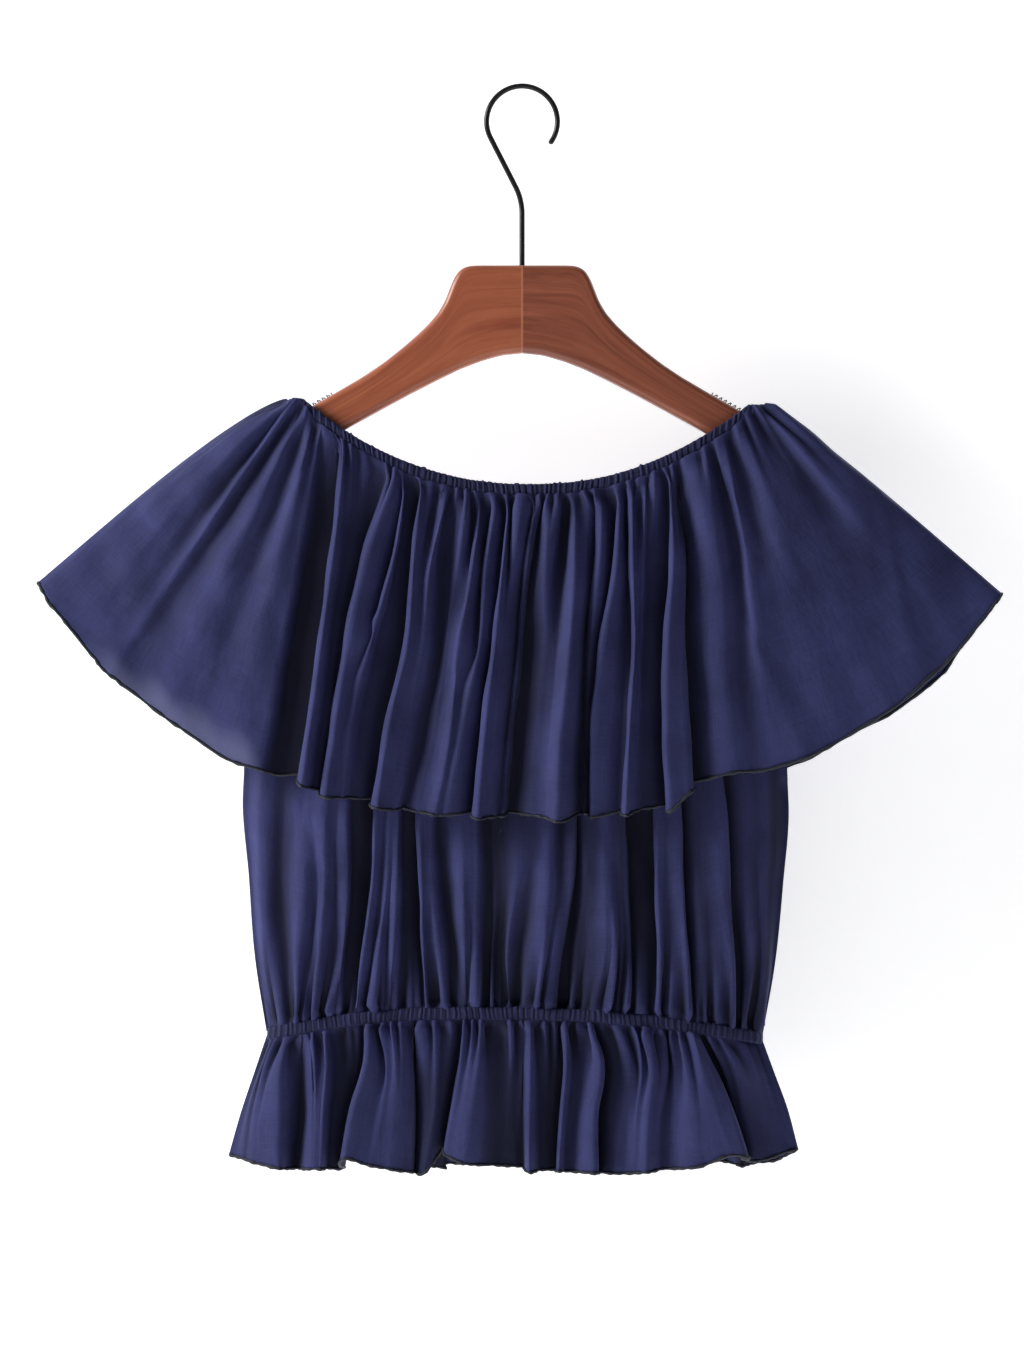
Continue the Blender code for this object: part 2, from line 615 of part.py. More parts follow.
def hanger_half(name, sign, wood, cutter):
    """Half of the hanger: its outline extruded to the wood's thickness, drilled for the shank."""
    outline = bpy.data.curves.new(name, "CURVE")
    outline.dimensions = "2D"
    outline.fill_mode = "BOTH"
    outline.extrude = WOOD_THICK / 2
    spline = outline.splines.new("POLY")
    points = hanger_outline()
    spline.points.add(len(points) - 1)
    for target, (x, z) in zip(spline.points, points):
        target.co = (sign * x, z, 0.0, 1.0)
    spline.use_cyclic_u = True
    flat = bpy.data.objects.new(name + "_outline", outline)
    PIECES.objects.link(flat)
    flat.rotation_euler = (math.pi / 2, 0.0, 0.0)
    bpy.context.view_layer.update()
    graph = bpy.context.evaluated_depsgraph_get()
    data = bpy.data.meshes.new_from_object(flat.evaluated_get(graph))
    data.transform(flat.matrix_world)
    bpy.data.objects.remove(flat)
    mesh = bmesh.new()
    mesh.from_mesh(data)
    bmesh.ops.remove_doubles(mesh, verts=mesh.verts, dist=1e-6)
    bmesh.ops.recalc_face_normals(mesh, faces=mesh.faces)
    half = add_mesh(name, mesh, wood)
    half.data.set_sharp_from_angle(angle=math.radians(35.0))
    edges = half.modifiers.new("Rounded edges", "BEVEL")
    edges.width = WOOD_ROUNDING
    edges.segments = 2
    edges.limit_method = "ANGLE"
    edges.angle_limit = math.radians(60.0)
    drill = half.modifiers.new("Shank hole", "BOOLEAN")
    drill.object = cutter
    drill.operation = "DIFFERENCE"
    return half


def shank_cutter():
    """The drilled hole that the hook's shank goes into."""
    mesh = bmesh.new()
    deep = SHANK_IN_WOOD + GAP
    above = 0.010
    bmesh.ops.create_cone(
        mesh,
        cap_ends=True,
        segments=16,
        radius1=SHANK_RADIUS + GAP,
        radius2=SHANK_RADIUS + GAP,
        depth=deep + above,
    )
    data = bpy.data.meshes.new("shank_hole")
    mesh.to_mesh(data)
    mesh.free()
    cutter = bpy.data.objects.new("shank_hole", data)
    CUTTERS.objects.link(cutter)
    cutter.location = (0.0, 0.0, -WOOD_TOP - deep + (deep + above) / 2)
    cutter.hide_render = True
    cutter.display_type = "WIRE"
    return cutter


def hook_path():
    """Shank, a slow bend to the left, a straight stretch, then the round of the hook."""
    centre_z = SHANK_RADIUS - HOOK_RADIUS
    below = HOOK_BEND_BELOW + centre_z
    lean = math.asin(HOOK_RADIUS / below)
    run = HOOK_BEND_RADIUS * math.tan(lean / 2)
    bend_z = -HOOK_BEND_BELOW - run
    points = [(0.0, -WOOD_TOP - SHANK_IN_WOOD), (0.0, -WOOD_TOP), (0.0, (bend_z - WOOD_TOP) / 2)]
    points += [
        (
            -HOOK_BEND_RADIUS * (1.0 - math.cos(turn)),
            bend_z + HOOK_BEND_RADIUS * math.sin(turn),
        )
        for turn in np.linspace(0.0, lean, 5)
    ]
    points += [
        (HOOK_RADIUS * math.sin(turn), centre_z + HOOK_RADIUS * math.cos(turn))
        for turn in np.linspace(-math.pi / 2 - lean, math.pi / 2 + HOOK_TIP_TURN, 26)
    ]
    return [Vector((x, 0.0, z)) for x, z in points]


def hook(steel):
    wire = bpy.data.curves.new("hook", "CURVE")
    wire.dimensions = "3D"
    wire.bevel_depth = SHANK_RADIUS
    wire.bevel_resolution = 2
    wire.use_fill_caps = True
    spline = wire.splines.new("POLY")
    path = hook_path()
    spline.points.add(len(path) - 1)
    for target, point in zip(spline.points, path):
        target.co = (*point, 1.0)
    wire.materials.append(steel)
    made = bpy.data.objects.new("hook", wire)
    PIECES.objects.link(made)


def grip(name, sign, steel):
    """A toothed strip on the arm's top edge: its side view, extruded across the arm."""
    base_end = GRIP_TEETH * GRIP_PITCH
    side_view = [(0.0, 0.0), (base_end, 0.0)]
    for tooth in reversed(range(GRIP_TEETH)):
        start = (tooth + 0.5) * GRIP_PITCH - GRIP_TOOTH / 2
        side_view += [
            (start + GRIP_TOOTH, GRIP_BASE),
            (start + GRIP_TOOTH * 0.8, GRIP_HEIGHT),
            (start + GRIP_TOOTH * 0.2, GRIP_HEIGHT),
            (start, GRIP_BASE),
        ]
    outline = bpy.data.curves.new(name, "CURVE")
    outline.dimensions = "2D"
    outline.fill_mode = "BOTH"
    outline.extrude = GRIP_DEEP / 2
    spline = outline.splines.new("POLY")
    spline.points.add(len(side_view) - 1)
    for target, (along, up) in zip(spline.points, side_view):
        target.co = (sign * along, up, 0.0, 1.0)
    spline.use_cyclic_u = True
    outline.materials.append(steel)
    strip = bpy.data.objects.new(name, outline)
    PIECES.objects.link(strip)
    ends = [Vector((x, 0.0, -arm_top_drop(x))) for x in (GRIP_START, GRIP_START + base_end * 0.85)]
    slope = math.atan2(ends[0].z - ends[1].z, ends[1].x - ends[0].x)
    strip.location = (sign * GRIP_START, 0.0, ends[0].z + 2 * GAP)
    strip.rotation_euler = (math.pi / 2, sign * slope, 0.0)


clear_scene()
PIECES = collection("ruffle_top_on_hanger")
CUTTERS = collection("cutters")
navy = material("navy_viscose", (0.045, 0.047, 0.120), 0.62)
cherry = material("stained_wood", (0.30, 0.085, 0.038), 0.38)
black = material("black_wire", (0.012, 0.012, 0.014), 0.35, 0.8)
grey = material("grey_steel", (0.20, 0.21, 0.20), 0.4, 0.9)

hole = shank_cutter()
hanger_half("hanger_left", -1.0, cherry, hole)
hanger_half("hanger_right", 1.0, cherry, hole)
hook(black)
grip("grip_left", -1.0, grey)
grip("grip_right", 1.0, grey)

casing(
    "neck_casing",
    NECK,
    NECK_GATHERS,
    NECK_CASING_THICK,
    neck_casing_tall,
    lambda x: neck_top_drop(x) + neck_casing_tall(x) / 2,
    navy,
)
flounce("flounce_front", FRONT_FLOUNCE, "front", navy)
flounce("flounce_back", BACK_FLOUNCE, "back", navy)
bodice("bodice_front", FRONT_BODICE, "front", navy)
bodice("bodice_back", BACK_BODICE, "back", navy)
casing(
    "waist_casing",
    WAIST,
    WAIST_GATHERS,
    WAIST_CASING_THICK,
    lambda x: np.full_like(x, WAIST_CASING_TALL),
    waist_middle_drop,
    navy,
)
peplum("peplum_front", FRONT_PEPLUM, "front", navy)
peplum("peplum_back", BACK_PEPLUM, "back", navy)
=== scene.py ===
"""Looks of an off-shoulder ruffle top that hangs on a wooden hanger: cloth, wood, wire and stage.

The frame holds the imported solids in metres, with the hanging point at the origin, +Y at the back of
the garment and +Z up. Tables hold millimetres: x from the hook's shank, drop below the hanging point,
depth in front of the hanger's middle plane or behind it, and rise, how far a crest stands out of the
cloth around it. A negative rise is a hollow between two crests.
"""

import math
from typing import NamedTuple

import bpy
import numpy as np
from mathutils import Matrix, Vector


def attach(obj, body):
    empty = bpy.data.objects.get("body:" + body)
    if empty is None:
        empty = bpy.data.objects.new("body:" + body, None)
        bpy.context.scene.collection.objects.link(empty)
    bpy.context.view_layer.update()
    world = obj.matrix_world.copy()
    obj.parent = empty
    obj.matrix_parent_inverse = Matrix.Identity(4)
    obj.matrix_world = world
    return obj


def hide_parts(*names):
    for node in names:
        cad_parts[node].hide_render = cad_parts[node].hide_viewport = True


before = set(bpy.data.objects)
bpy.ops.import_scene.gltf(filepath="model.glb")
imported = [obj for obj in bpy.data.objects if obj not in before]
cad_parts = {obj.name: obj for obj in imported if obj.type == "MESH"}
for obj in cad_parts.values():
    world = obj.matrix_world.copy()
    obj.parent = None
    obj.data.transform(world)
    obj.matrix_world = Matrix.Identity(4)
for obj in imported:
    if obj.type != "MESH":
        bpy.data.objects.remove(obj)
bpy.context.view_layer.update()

bl_info = {
    "name": "Ruffle top on a hanger",
    "version": (1, 0, 0),
    "blender": (4, 5, 0),
    "location": "3D View > Sidebar > Ruffle top",
    "description": "Builds the cloth, the wooden hanger and the stage round the packed solids",
    "category": "Object",
}

MM = 0.001
SIDES = {"front": -1.0, "back": 1.0}

# Lengths in these constants are in metres, or in millimetres where the name ends in MM.
# SOFT_REACH and SOFT_WIDTH count outline steps.

# Hanger, hook and grips
WOOD_TOP_DROP = 0.120
WOOD_INSET = 0.0001
HANGER_COLUMNS = 150
END_STEPS = 21
OUTLINE_STEPS = 800
SOFT_REACH, SOFT_WIDTH = 24, 11.0
ROLL_STEPS, FACE_STEPS = 8, 12
GLUE_LINE = 0.00002
GLUE_COLUMN = 0.00012
GLUE_SHOWS = 0.0005
WIRE_RADIUS = 0.0018
WIRE_SIDES = 20
HOOK_RADIUS = 0.0240
HOOK_BEND_BELOW = 0.0750
HOOK_BEND_RADIUS = 0.040
HOOK_TIP_TURN = math.radians(35.0)
SHANK_IN_WOOD = 0.004
SHANK_STEPS, BEND_STEPS, LOOP_STEPS, CAP_STEPS = 14, 12, 90, 7
GRIP_START = 0.1275
GRIP_PITCH = 0.0031
GRIP_TEETH = 13
COIL_STEPS, COIL_SIDES = 26, 7
COIL_DEEPER, COIL_LEAN = 1.15, 0.45

# Elastics and their casings
NECK_LOW_X = 0.0050
NECK_LOW_DROP = 0.2682
NECK_SHOULDER_DROPS = (0.2104, 0.2145)
NECK_SAG_ENDS = (-0.148, 0.152)
NECK_SAG_POWER = 2.2
NECK_TURN = (0.140, 0.154)
NECK_CASING_TALL = 0.0084
NECK_CASING_TALL_AT_TURN = 0.0068
NECK_CASING_THICK = 0.0046
WAIST_HIGH_X = -0.0300
WAIST_HIGH_DROP = 0.6242
WAIST_END_DROPS = (0.6392, 0.6422)
WAIST_SAG_POWER = 2.35
WAIST_CASING_TALL = 0.0084
WAIST_CASING_THICK = 0.0028
CASING_COLUMNS, CASING_SIDES = 1400, 20
RIDGE_HEIGHT = 0.001485
RIDGE_JOIN = 0.003
SECOND_PITCH, SECOND_SHARE = 0.61, 0.38
TUFT_HEIGHT = 0.0012
EDGE_RIDGE = 0.0007
CASING_TILT = 0.0005
# Painted shade of the casings: how dark they are painted, and how much less on the crests of their gathers
CASING_PAINTED_SHADE, CREST_LESS_PAINTED_SHADE = 0.92, 0.80
ELASTIC_HOLD, ELASTIC_PULL = 0.0010, 0.0080
SHEET_IN_CASING = 0.15

# Form of the cloth
SEAM_GAP = 0.0003
WAIST_BLOUSE = 0.0016
ARMHOLE_DEPTH = 0.0105
UNDERARM_AT = 0.585
BODY_MIDDLE, BODY_HALF_WIDTH = -0.003, 0.186
BODY_DROPS, BODY_DEPTHS = (0.25, 0.46), (0.0135, 0.0215)
BUST_DEPTH, BUST_POWER = 0.0186, 2.8
PEPLUM_HEM_DEPTH, PEPLUM_HEM_POWER = 0.0240, 3.2
FLOUNCE_HEM_DEPTH_MM, FLOUNCE_HALF_WIDTH = 33.5, 0.328
FLOUNCE_RISE_AT_TURN = 0.0054
FLOUNCE_OVER_CASING = 0.0012
OFF_CASING = 0.0008
OFF_BODICE = 0.0008
FULL_FOLDS_FROM = 0.012
FLOUNCE_FOLDS_FROM = 0.016
CONTACT_BLEND, CONTACT_LIFT = 0.0012, 0.0001
ARCH_ENDS_EARLY = 1.6
HEM_WAVES_FROM, HEM_WAVE_LIMIT, HEM_WAVE_SHARE = 0.86, 0.008, 0.30
NECK_OF_BUST, BODICE_NECK_ENDS = 0.80, (-0.150, 0.152)
INSIDE_NECK = 0.96
PEPLUM_BLOUSE = 0.7
CREST_SCALE = 1.4
HOLLOW_SCALE = 1.7
BODICE_FOLD_SHARE = 0.85
WING_CREASE = 0.15
SHARP_CREASE, CLIMB_ROWS, CLIMB_TO_TUCK = (0.25, 0.75), 18, (0.002, 0.007)
TUCK = 0.0014
CREST_ROLL = 0.0018
OVERHANG = 0.15
FLOUNCE_PER_GAP, FLOUNCE_ROWS = 6, 116
BODICE_PER_GAP, BODICE_ROWS = 6, 92
PEPLUM_PER_GAP, PEPLUM_ROWS = 9, 56
FLOUNCE_ROW_POWER, BODICE_ROW_POWER, PEPLUM_ROW_POWER = 1.22, 0.86, 1.15
THREAD_WAVES = ((0.26, 900.0), (0.18, 371.0))
THREAD_SIDES, THREAD_END, THREAD_INSET = 8, 0.0015, 0.0002

# Painted shade: depth taken off the folds before the painted shade of their hollows is read, over all and in
# a band of x, so that more of the cloth there is painted dark
FLOUNCE_PAINTED_SHADE = (0.0022, 0.008, 0.036)
BODICE_PAINTED_SHADE_ALL, BODICE_PAINTED_SHADE, BODICE_PAINTED_SHADE_FROM = 0.0005, 0.0019, (-0.060, 0.000)
PEPLUM_PAINTED_SHADE_ALL, PEPLUM_PAINTED_SHADE = 0.0003, (0.0020, 0.010, 0.065)

# Painted backlight, a pale band over the left wing's hem: where it starts, and how softly it ends on each
# side
PATCH_DROP, PATCH_X, PATCH_SLOPE, PATCH_WAVE = 0.392, -0.2715, 0.62, 0.003
PATCH_SOFT, PATCH_LEFT, PATCH_RIGHT = (-0.012, 0.010), (-0.300, -0.262), (0.172, 0.186)

# Places down a panel, as a share of its fall, at which the fold tables give x and rise
FLOUNCE_X_AT = (0.0, 0.25, 0.5, 0.75, 1.0)
FLOUNCE_RISE_AT = (0.0, 0.1, 0.3, 0.6, 1.0)
BODICE_AT = (0.0, 0.62, 0.75, 0.88, 1.0)
PEPLUM_X_AT = (0.0, 0.3, 0.62, 1.0)
PEPLUM_RISE_AT = (0.0, 0.1, 0.35, 0.65, 1.0)

# Stage
CAMERA_AIM = Vector((-0.0068, 0.0, -0.402))
LIGHT_AIM = (0.0, 0.0, -0.45)
SENSOR_HEIGHT_MM = 36.0
ROOM_HALF, FLOOR_HALF, FLOOR_Z, WALL_TOP_Z = 4.0, 5.0, -1.6, 3.0
BACK_LIGHT_SHARE = 0.45


class EdgePoint(NamedTuple):
    """A point of the right arm's outline: how far out from the centre, and its drop."""

    out: float
    drop: float


class FlounceFold(NamedTuple):
    """A crest or hollow of the flounce: x at five places down its fall and rise at four.

    A hollow with a crease is tucked in behind a crest: the one at its right if the crease is
    positive, at its left if it is negative. The same holds for the other fold tables.
    """

    neck: float
    upper: float
    middle: float
    lower: float
    hem: float
    hem_drop: float
    rise_neck: float
    rise_upper: float
    rise_lower: float
    rise_hem: float
    crease: float

    bow = 0.0
    over_arm = 0.0

    def places(self):
        """x at the places down the fall that FLOUNCE_X_AT gives."""
        return self[:5]


class WingFold(NamedTuple):
    """A fold that runs straight out over a wing, and how the wing arches there.

    bow is how far it rises over a straight line from neck to hem, and over_arm how far it stands
    out where it passes the hanger's arm.
    """

    neck: float
    hem: float
    hem_drop: float
    hem_depth: float
    bow: float
    over_arm: float
    rise_neck: float
    rise_upper: float
    rise_lower: float
    rise_hem: float

    crease = WING_CREASE

    def places(self):
        """x at the places down the fall that FLOUNCE_X_AT gives, on a straight line."""
        return [self.neck + (self.hem - self.neck) * at for at in FLOUNCE_X_AT]


class BodiceFold(NamedTuple):
    """A crest or hollow of the bodice: x and rise at bust, middle, lower and waist height."""

    bust: float
    middle: float
    lower: float
    waist: float
    rise_bust: float
    rise_middle: float
    rise_lower: float
    rise_waist: float
    crease: float


class PeplumFold(NamedTuple):
    """A crest or hollow of the peplum: x and rise from the waist down to its hem."""

    waist: float
    upper: float
    lower: float
    hem: float
    hem_drop: float
    rise_waist: float
    rise_upper: float
    rise_lower: float
    rise_hem: float
    crease: float


class SoftLine(NamedTuple):
    """A faint crease across a wing, from one point to another, as x and drop."""

    start_x: float
    start_drop: float
    end_x: float
    end_drop: float
    width: float
    rise: float


class Turn(NamedTuple):
    """How the front's folds become the back's: which rows, and the sines that make them differ."""

    rows: slice
    shift: float
    sway: float
    sway_pace: float
    warp: float
    warp_pace: float
    warp_start: float
    hem_lower: float = 0.0


class Relief(NamedTuple):
    """The fine relief of one kind of sheet.

    fade is the number of columns over which it dies away to a side edge. gathers is their height
    as a share of the cloth's gather height and gathers_in_painted_shade how much they count in the
    painted shade of hollows. deep is the depth at which that painted shade is darkest. lean_step and
    lean_fall say which columns show the swing of the folds and over what fall, and crease_box is left,
    right, top and bottom.
    """

    seed: float
    fade: int
    gathers: float
    gather_reach: float
    gathers_in_painted_shade: float
    deep: float
    creases: int
    lean_step: int
    lean_fall: float
    crease_box: tuple

    def seed_for(self, side):
        """The seed of the front, and the next one for the back."""
        return self.seed + (side == "back")


class Cut(NamedTuple):
    """The flat width and length of a sheet in metres, and what it hangs from."""

    flat: tuple
    rests_on: tuple


FLOUNCE_TURN = Turn(slice(None), 0.0, 2.2, 0.83, 0.22, 1.9, 0.6, 1.4)
BODICE_TURN = Turn(slice(2, -2), -3.0, 1.2, 0.9, 0.25, 1.3, 0.4)
PEPLUM_TURN = Turn(slice(2, -3), -4.0, 2.0, 1.1, 0.25, 1.7, 1.1, 0.8)
FLOUNCE_RELIEF = Relief(1.0, 5, 1.0, 0.024, 1.6, 0.009, 70, 20, 0.215, (-0.29, 0.29, 0.24, 0.48))
BODICE_RELIEF = Relief(3.0, 6, 1.8, 0.020, 1.4, 0.006, 70, 12, 0.35, (-0.18, 0.175, 0.45, 0.625))
PEPLUM_RELIEF = Relief(5.0, 5, 1.6, 0.018, 1.4, 0.008, 40, 10, 0.09, (-0.19, 0.18, 0.64, 0.73))


def table(kind, *rows):
    """Rows of numbers as named tuples of one kind."""
    return tuple(kind(*row) for row in rows)


ARM_TOP = table(
    EdgePoint,
    (0, 120), (33, 120), (38.2, 120.8), (42.6, 123.4),
    (46, 128.6), (48.6, 135), (52, 144), (57, 152.6),
    (64, 160.6), (72, 168.2), (82, 176.8), (94, 186.2),
    (108, 195.6), (124, 205), (141, 214.7), (181, 237.5),
)

ARM_UNDER = table(
    EdgePoint,
    (0, 179), (14, 180.4), (28, 184.4), (42, 189.8),
    (58, 197.6), (76, 206.8), (96, 217.6), (118, 229.8),
    (140, 242.2), (181, 265.6),
)

LEFT_WING = table(
    WingFold,
    (-155.5, -327.8, 334.2, 0, 11.3, 0, 0, 0, 0, 0),
    (-155.2, -325, 339, 4, 10.5, 5, 0, 0, 0, 0),
    (-154.4, -319.6, 348.5, 7, 8, 6.5, 0.5, 0.5, 0, 0),
    (-153.4, -306, 364, 10.5, 5.2, 5.2, 1.5, 2, 1, 0),
    (-151.6, -287, 386.5, 14, 3, 4, -1.5, -2.5, -1, 0),
    (-150.3, -279, 396, 15.5, 2.2, 3.2, 1.5, 1.5, 0.5, 0),
    (-148.6, -270, 403.5, 17, 1.6, 2.8, -2, -2.5, -2, -0.5),
    (-146, -243, 423, 20.5, 0.4, 1.8, 2, 2, 1.5, 0),
    (-143, -222, 437.5, 23, 0, 0.8, -2, -1.5, -0.5, 0),
    (-139.5, -198, 453, 25.5, 0, 0, 2.5, 2.5, 2, 0.5),
    (-135, -175, 460.5, 27.5, 0, 0, 0.5, 0, 0, 0),
)

RIGHT_WING = table(
    WingFold,
    (136, 172, 458, 27.8, 0, 0, 2, 2.2, 1, 0),
    (142, 196, 449.8, 25.8, 0, 0.6, -1.8, -1.2, 0, 0),
    (147, 225, 434, 22.8, 0, 1.6, 1.6, 1.5, 0.5, 0),
    (152, 256, 414.5, 19, 0.6, 2.8, -0.8, -0.4, 0, 0),
    (156, 284, 390.5, 14.5, 1.6, 4.2, -2, -1.8, -0.3, 0),
    (158.6, 297.8, 375.7, 12, 3, 5, 1.2, 1.2, 0.2, 0),
    (161.1, 314.8, 355.3, 7.5, 5, 6.5, 0, 0, 0, 0),
    (161.8, 323, 345.1, 4, 6.2, 5, 0, 0, 0, 0),
    (162, 325, 341.7, 0, 6.6, 0, 0, 0, 0, 0),
)

BACK_RIGHT_WING = table(
    WingFold,
    (139.5, 198, 453, 25.5, 0, 0, 2.5, 2.5, 2, 0.5),
    (143, 222, 438, 23, 0, 0.8, -2, -1.5, -0.5, 0),
    (148.6, 250, 424, 20.5, 0.6, 2.2, 2, 2, 1.5, 1),
    (152.6, 272, 409, 17.5, 1.6, 3.4, -1.5, -2, -2, -1.5),
    (156.6, 288, 394, 14, 2.2, 4.2, 1.2, 1.2, 1, 1),
    (159.4, 298.5, 377, 12, 3, 5, 0, 0, 0, 0),
    (161.1, 314.8, 356, 7.5, 5, 6.5, 0, 0, 0, 0),
    (161.8, 323, 345.1, 4, 6.2, 5, 0, 0, 0, 0),
    (162, 325, 341.7, 0, 6.6, 0, 0, 0, 0, 0),
)

FLOUNCE_FOLDS = table(
    FlounceFold,
    (-133.8, -137.6, -147.4, -156.2, -166.4, 466.1, -3, -6, -7, -6, 0),
    (-128.4, -131, -140.2, -148.9, -159, 466.1, -5, -8, -9, -8, 0.8),
    (-121.8, -125.7, -132.9, -140.5, -148.7, 469.1, 3, 5, 6, 6, 0.1),
    (-113.7, -115.8, -124.7, -131.3, -140, 474.5, -1, -2.5, -2.5, -2.5, 0),
    (-93.7, -110.8, -119.9, -127.1, -135.5, 476.1, -4, -6, -7, -7, 1),
    (-86.3, -105.2, -117, -125.3, -133.6, 476.4, 3, 5, 5, 6, 0.1),
    (-81.7, -89.7, -106.8, -117.9, -124.8, 477.7, -2, -4.5, 1, 3, 0.8),
    (-79, -86.5, -101.2, -113, -120.2, 478.6, 3, 4.5, 3, 2, 0.2),
    (-75, -82.8, -94.6, -104.3, -113.6, 480.3, -1, -2, -2, -2, 0),
    (-73, -79.7, -85.8, -94.7, -103.9, 482.6, -4, -7, -8, -8, 1),
    (-68.3, -74.2, -78.1, -90.6, -99, 483.5, 3, 6, 6, 7, 0.2),
    (-52.9, -65.4, -71.5, -82.1, -89.9, 485.4, -2, 1.5, 3, 3.5, 0.3),
    (-48.2, -61.4, -66.5, -76.9, -85.7, 486.4, 3, 4.5, 2, 1.5, 0.1),
    (-43.6, -52.7, -55.1, -65.8, -79.8, 487.5, -3, -4.5, -4, -3, 0.2),
    (-38.2, -43.9, -51.4, -58.4, -69.9, 488.4, 3, -0.5, -0.5, 0, 0.1),
    (-32.9, -39.3, -48.8, -54.7, -64.9, 488.9, -3, 0.5, 1, 1, 0.6),
    (-27.5, -35, -44.3, -48.2, -58.3, 489.5, 3, 5, 4, 3, 0.1),
    (-22.8, -30, -38.2, -44.6, -53.9, 489.7, -4, -4.5, 1, 2, 0.7),
    (-18.2, -26.3, -31.2, -40.5, -51, 489.9, 3, 3.5, 3, 2, 0.1),
    (-14.2, -19.5, -23.9, -32.4, -39.7, 490.4, -3, -3, -7, -8, 1),
    (-9.5, -15.1, -20.5, -26.7, -31.4, 490.8, 3, 5.5, 6, 6, 0.2),
    (-4.8, -9.5, -15.3, -20.7, -24.3, 491.3, -2.5, 1, 1.5, 2, 0.2),
    (-0.8, -6.7, -11.3, -16, -19.6, 491.5, 2.5, 0.5, 0.5, 1, 0.1),
    (3.9, -1.8, -8, -12, -15.6, 491.6, -4, -6, -3, -1, 0.9),
    (8.6, 0.9, -4, -8.7, -12.3, 491.5, 3, 0, 0, 0, 0.1),
    (13.9, 4.9, 1.3, -4, -8.7, 491.2, -4, -5, -5, -5, 0.2),
    (20.6, 15.7, 15.4, 10.8, 7.2, 490.7, 3, 1, 0.5, 0.5, 0.1),
    (28.6, 24.1, 20.7, 16.1, 12.5, 491.2, -4, -2, 1.5, 2, 0.4),
    (36, 34.6, 31.4, 25.4, 22.9, 492.4, 3, 6, 7, 7, 0),
    (44, 40.7, 39.4, 38.7, 37.5, 492.3, -4, -7, -8, -8, 0.6),
    (53.4, 50, 43.7, 42, 39.7, 492, 3, 2, -3, -4, 0.1),
    (59.4, 57.6, 46.8, 43.3, 41, 491.9, -4, -6, -5, -5, 0.9),
    (64.1, 61.4, 51.4, 45.4, 44.2, 491.7, 2, 4, 2, 1, 0.1),
    (69.4, 67.2, 63.2, 62.3, 58.7, 489.5, -4, -4, -2.5, -3, 0.6),
    (73.4, 73.4, 74.1, 70.5, 67.9, 488.9, 3, 4.5, 4.5, 5, 0.1),
    (78.8, 77.4, 77.4, 73.9, 71.2, 488.6, -2, 2.5, 2.5, 2.5, 0.2),
    (83.4, 81.4, 79.7, 76.5, 73.9, 488.4, 2, 0.5, 0, 0, 0.1),
    (88.8, 87.5, 84, 83, 81.3, 487.6, -1.5, -2.5, -2.5, -2.5, 0),
    (93.5, 94.3, 91.4, 90.5, 92.9, 486.4, -4, -6, -6, -6, 1),
    (97.5, 99.6, 95.9, 94.5, 96.9, 485.6, 3, 6, 6, 6, 0.1),
    (102.8, 109.2, 107.9, 110.5, 113.9, 473.9, -2, 1, 4, 4.5, 0.1),
    (108.2, 111.9, 110.4, 113, 116.5, 471.8, -5, -8, -9, -8, -0.9),
    (118.9, 128.1, 134.1, 135.2, 141.6, 462, 3, 3, 2.5, 1, 0),
    (126.2, 140.7, 148.5, 150.7, 158.2, 461.8, -2, -2.2, -1.6, -0.8, 0),
)

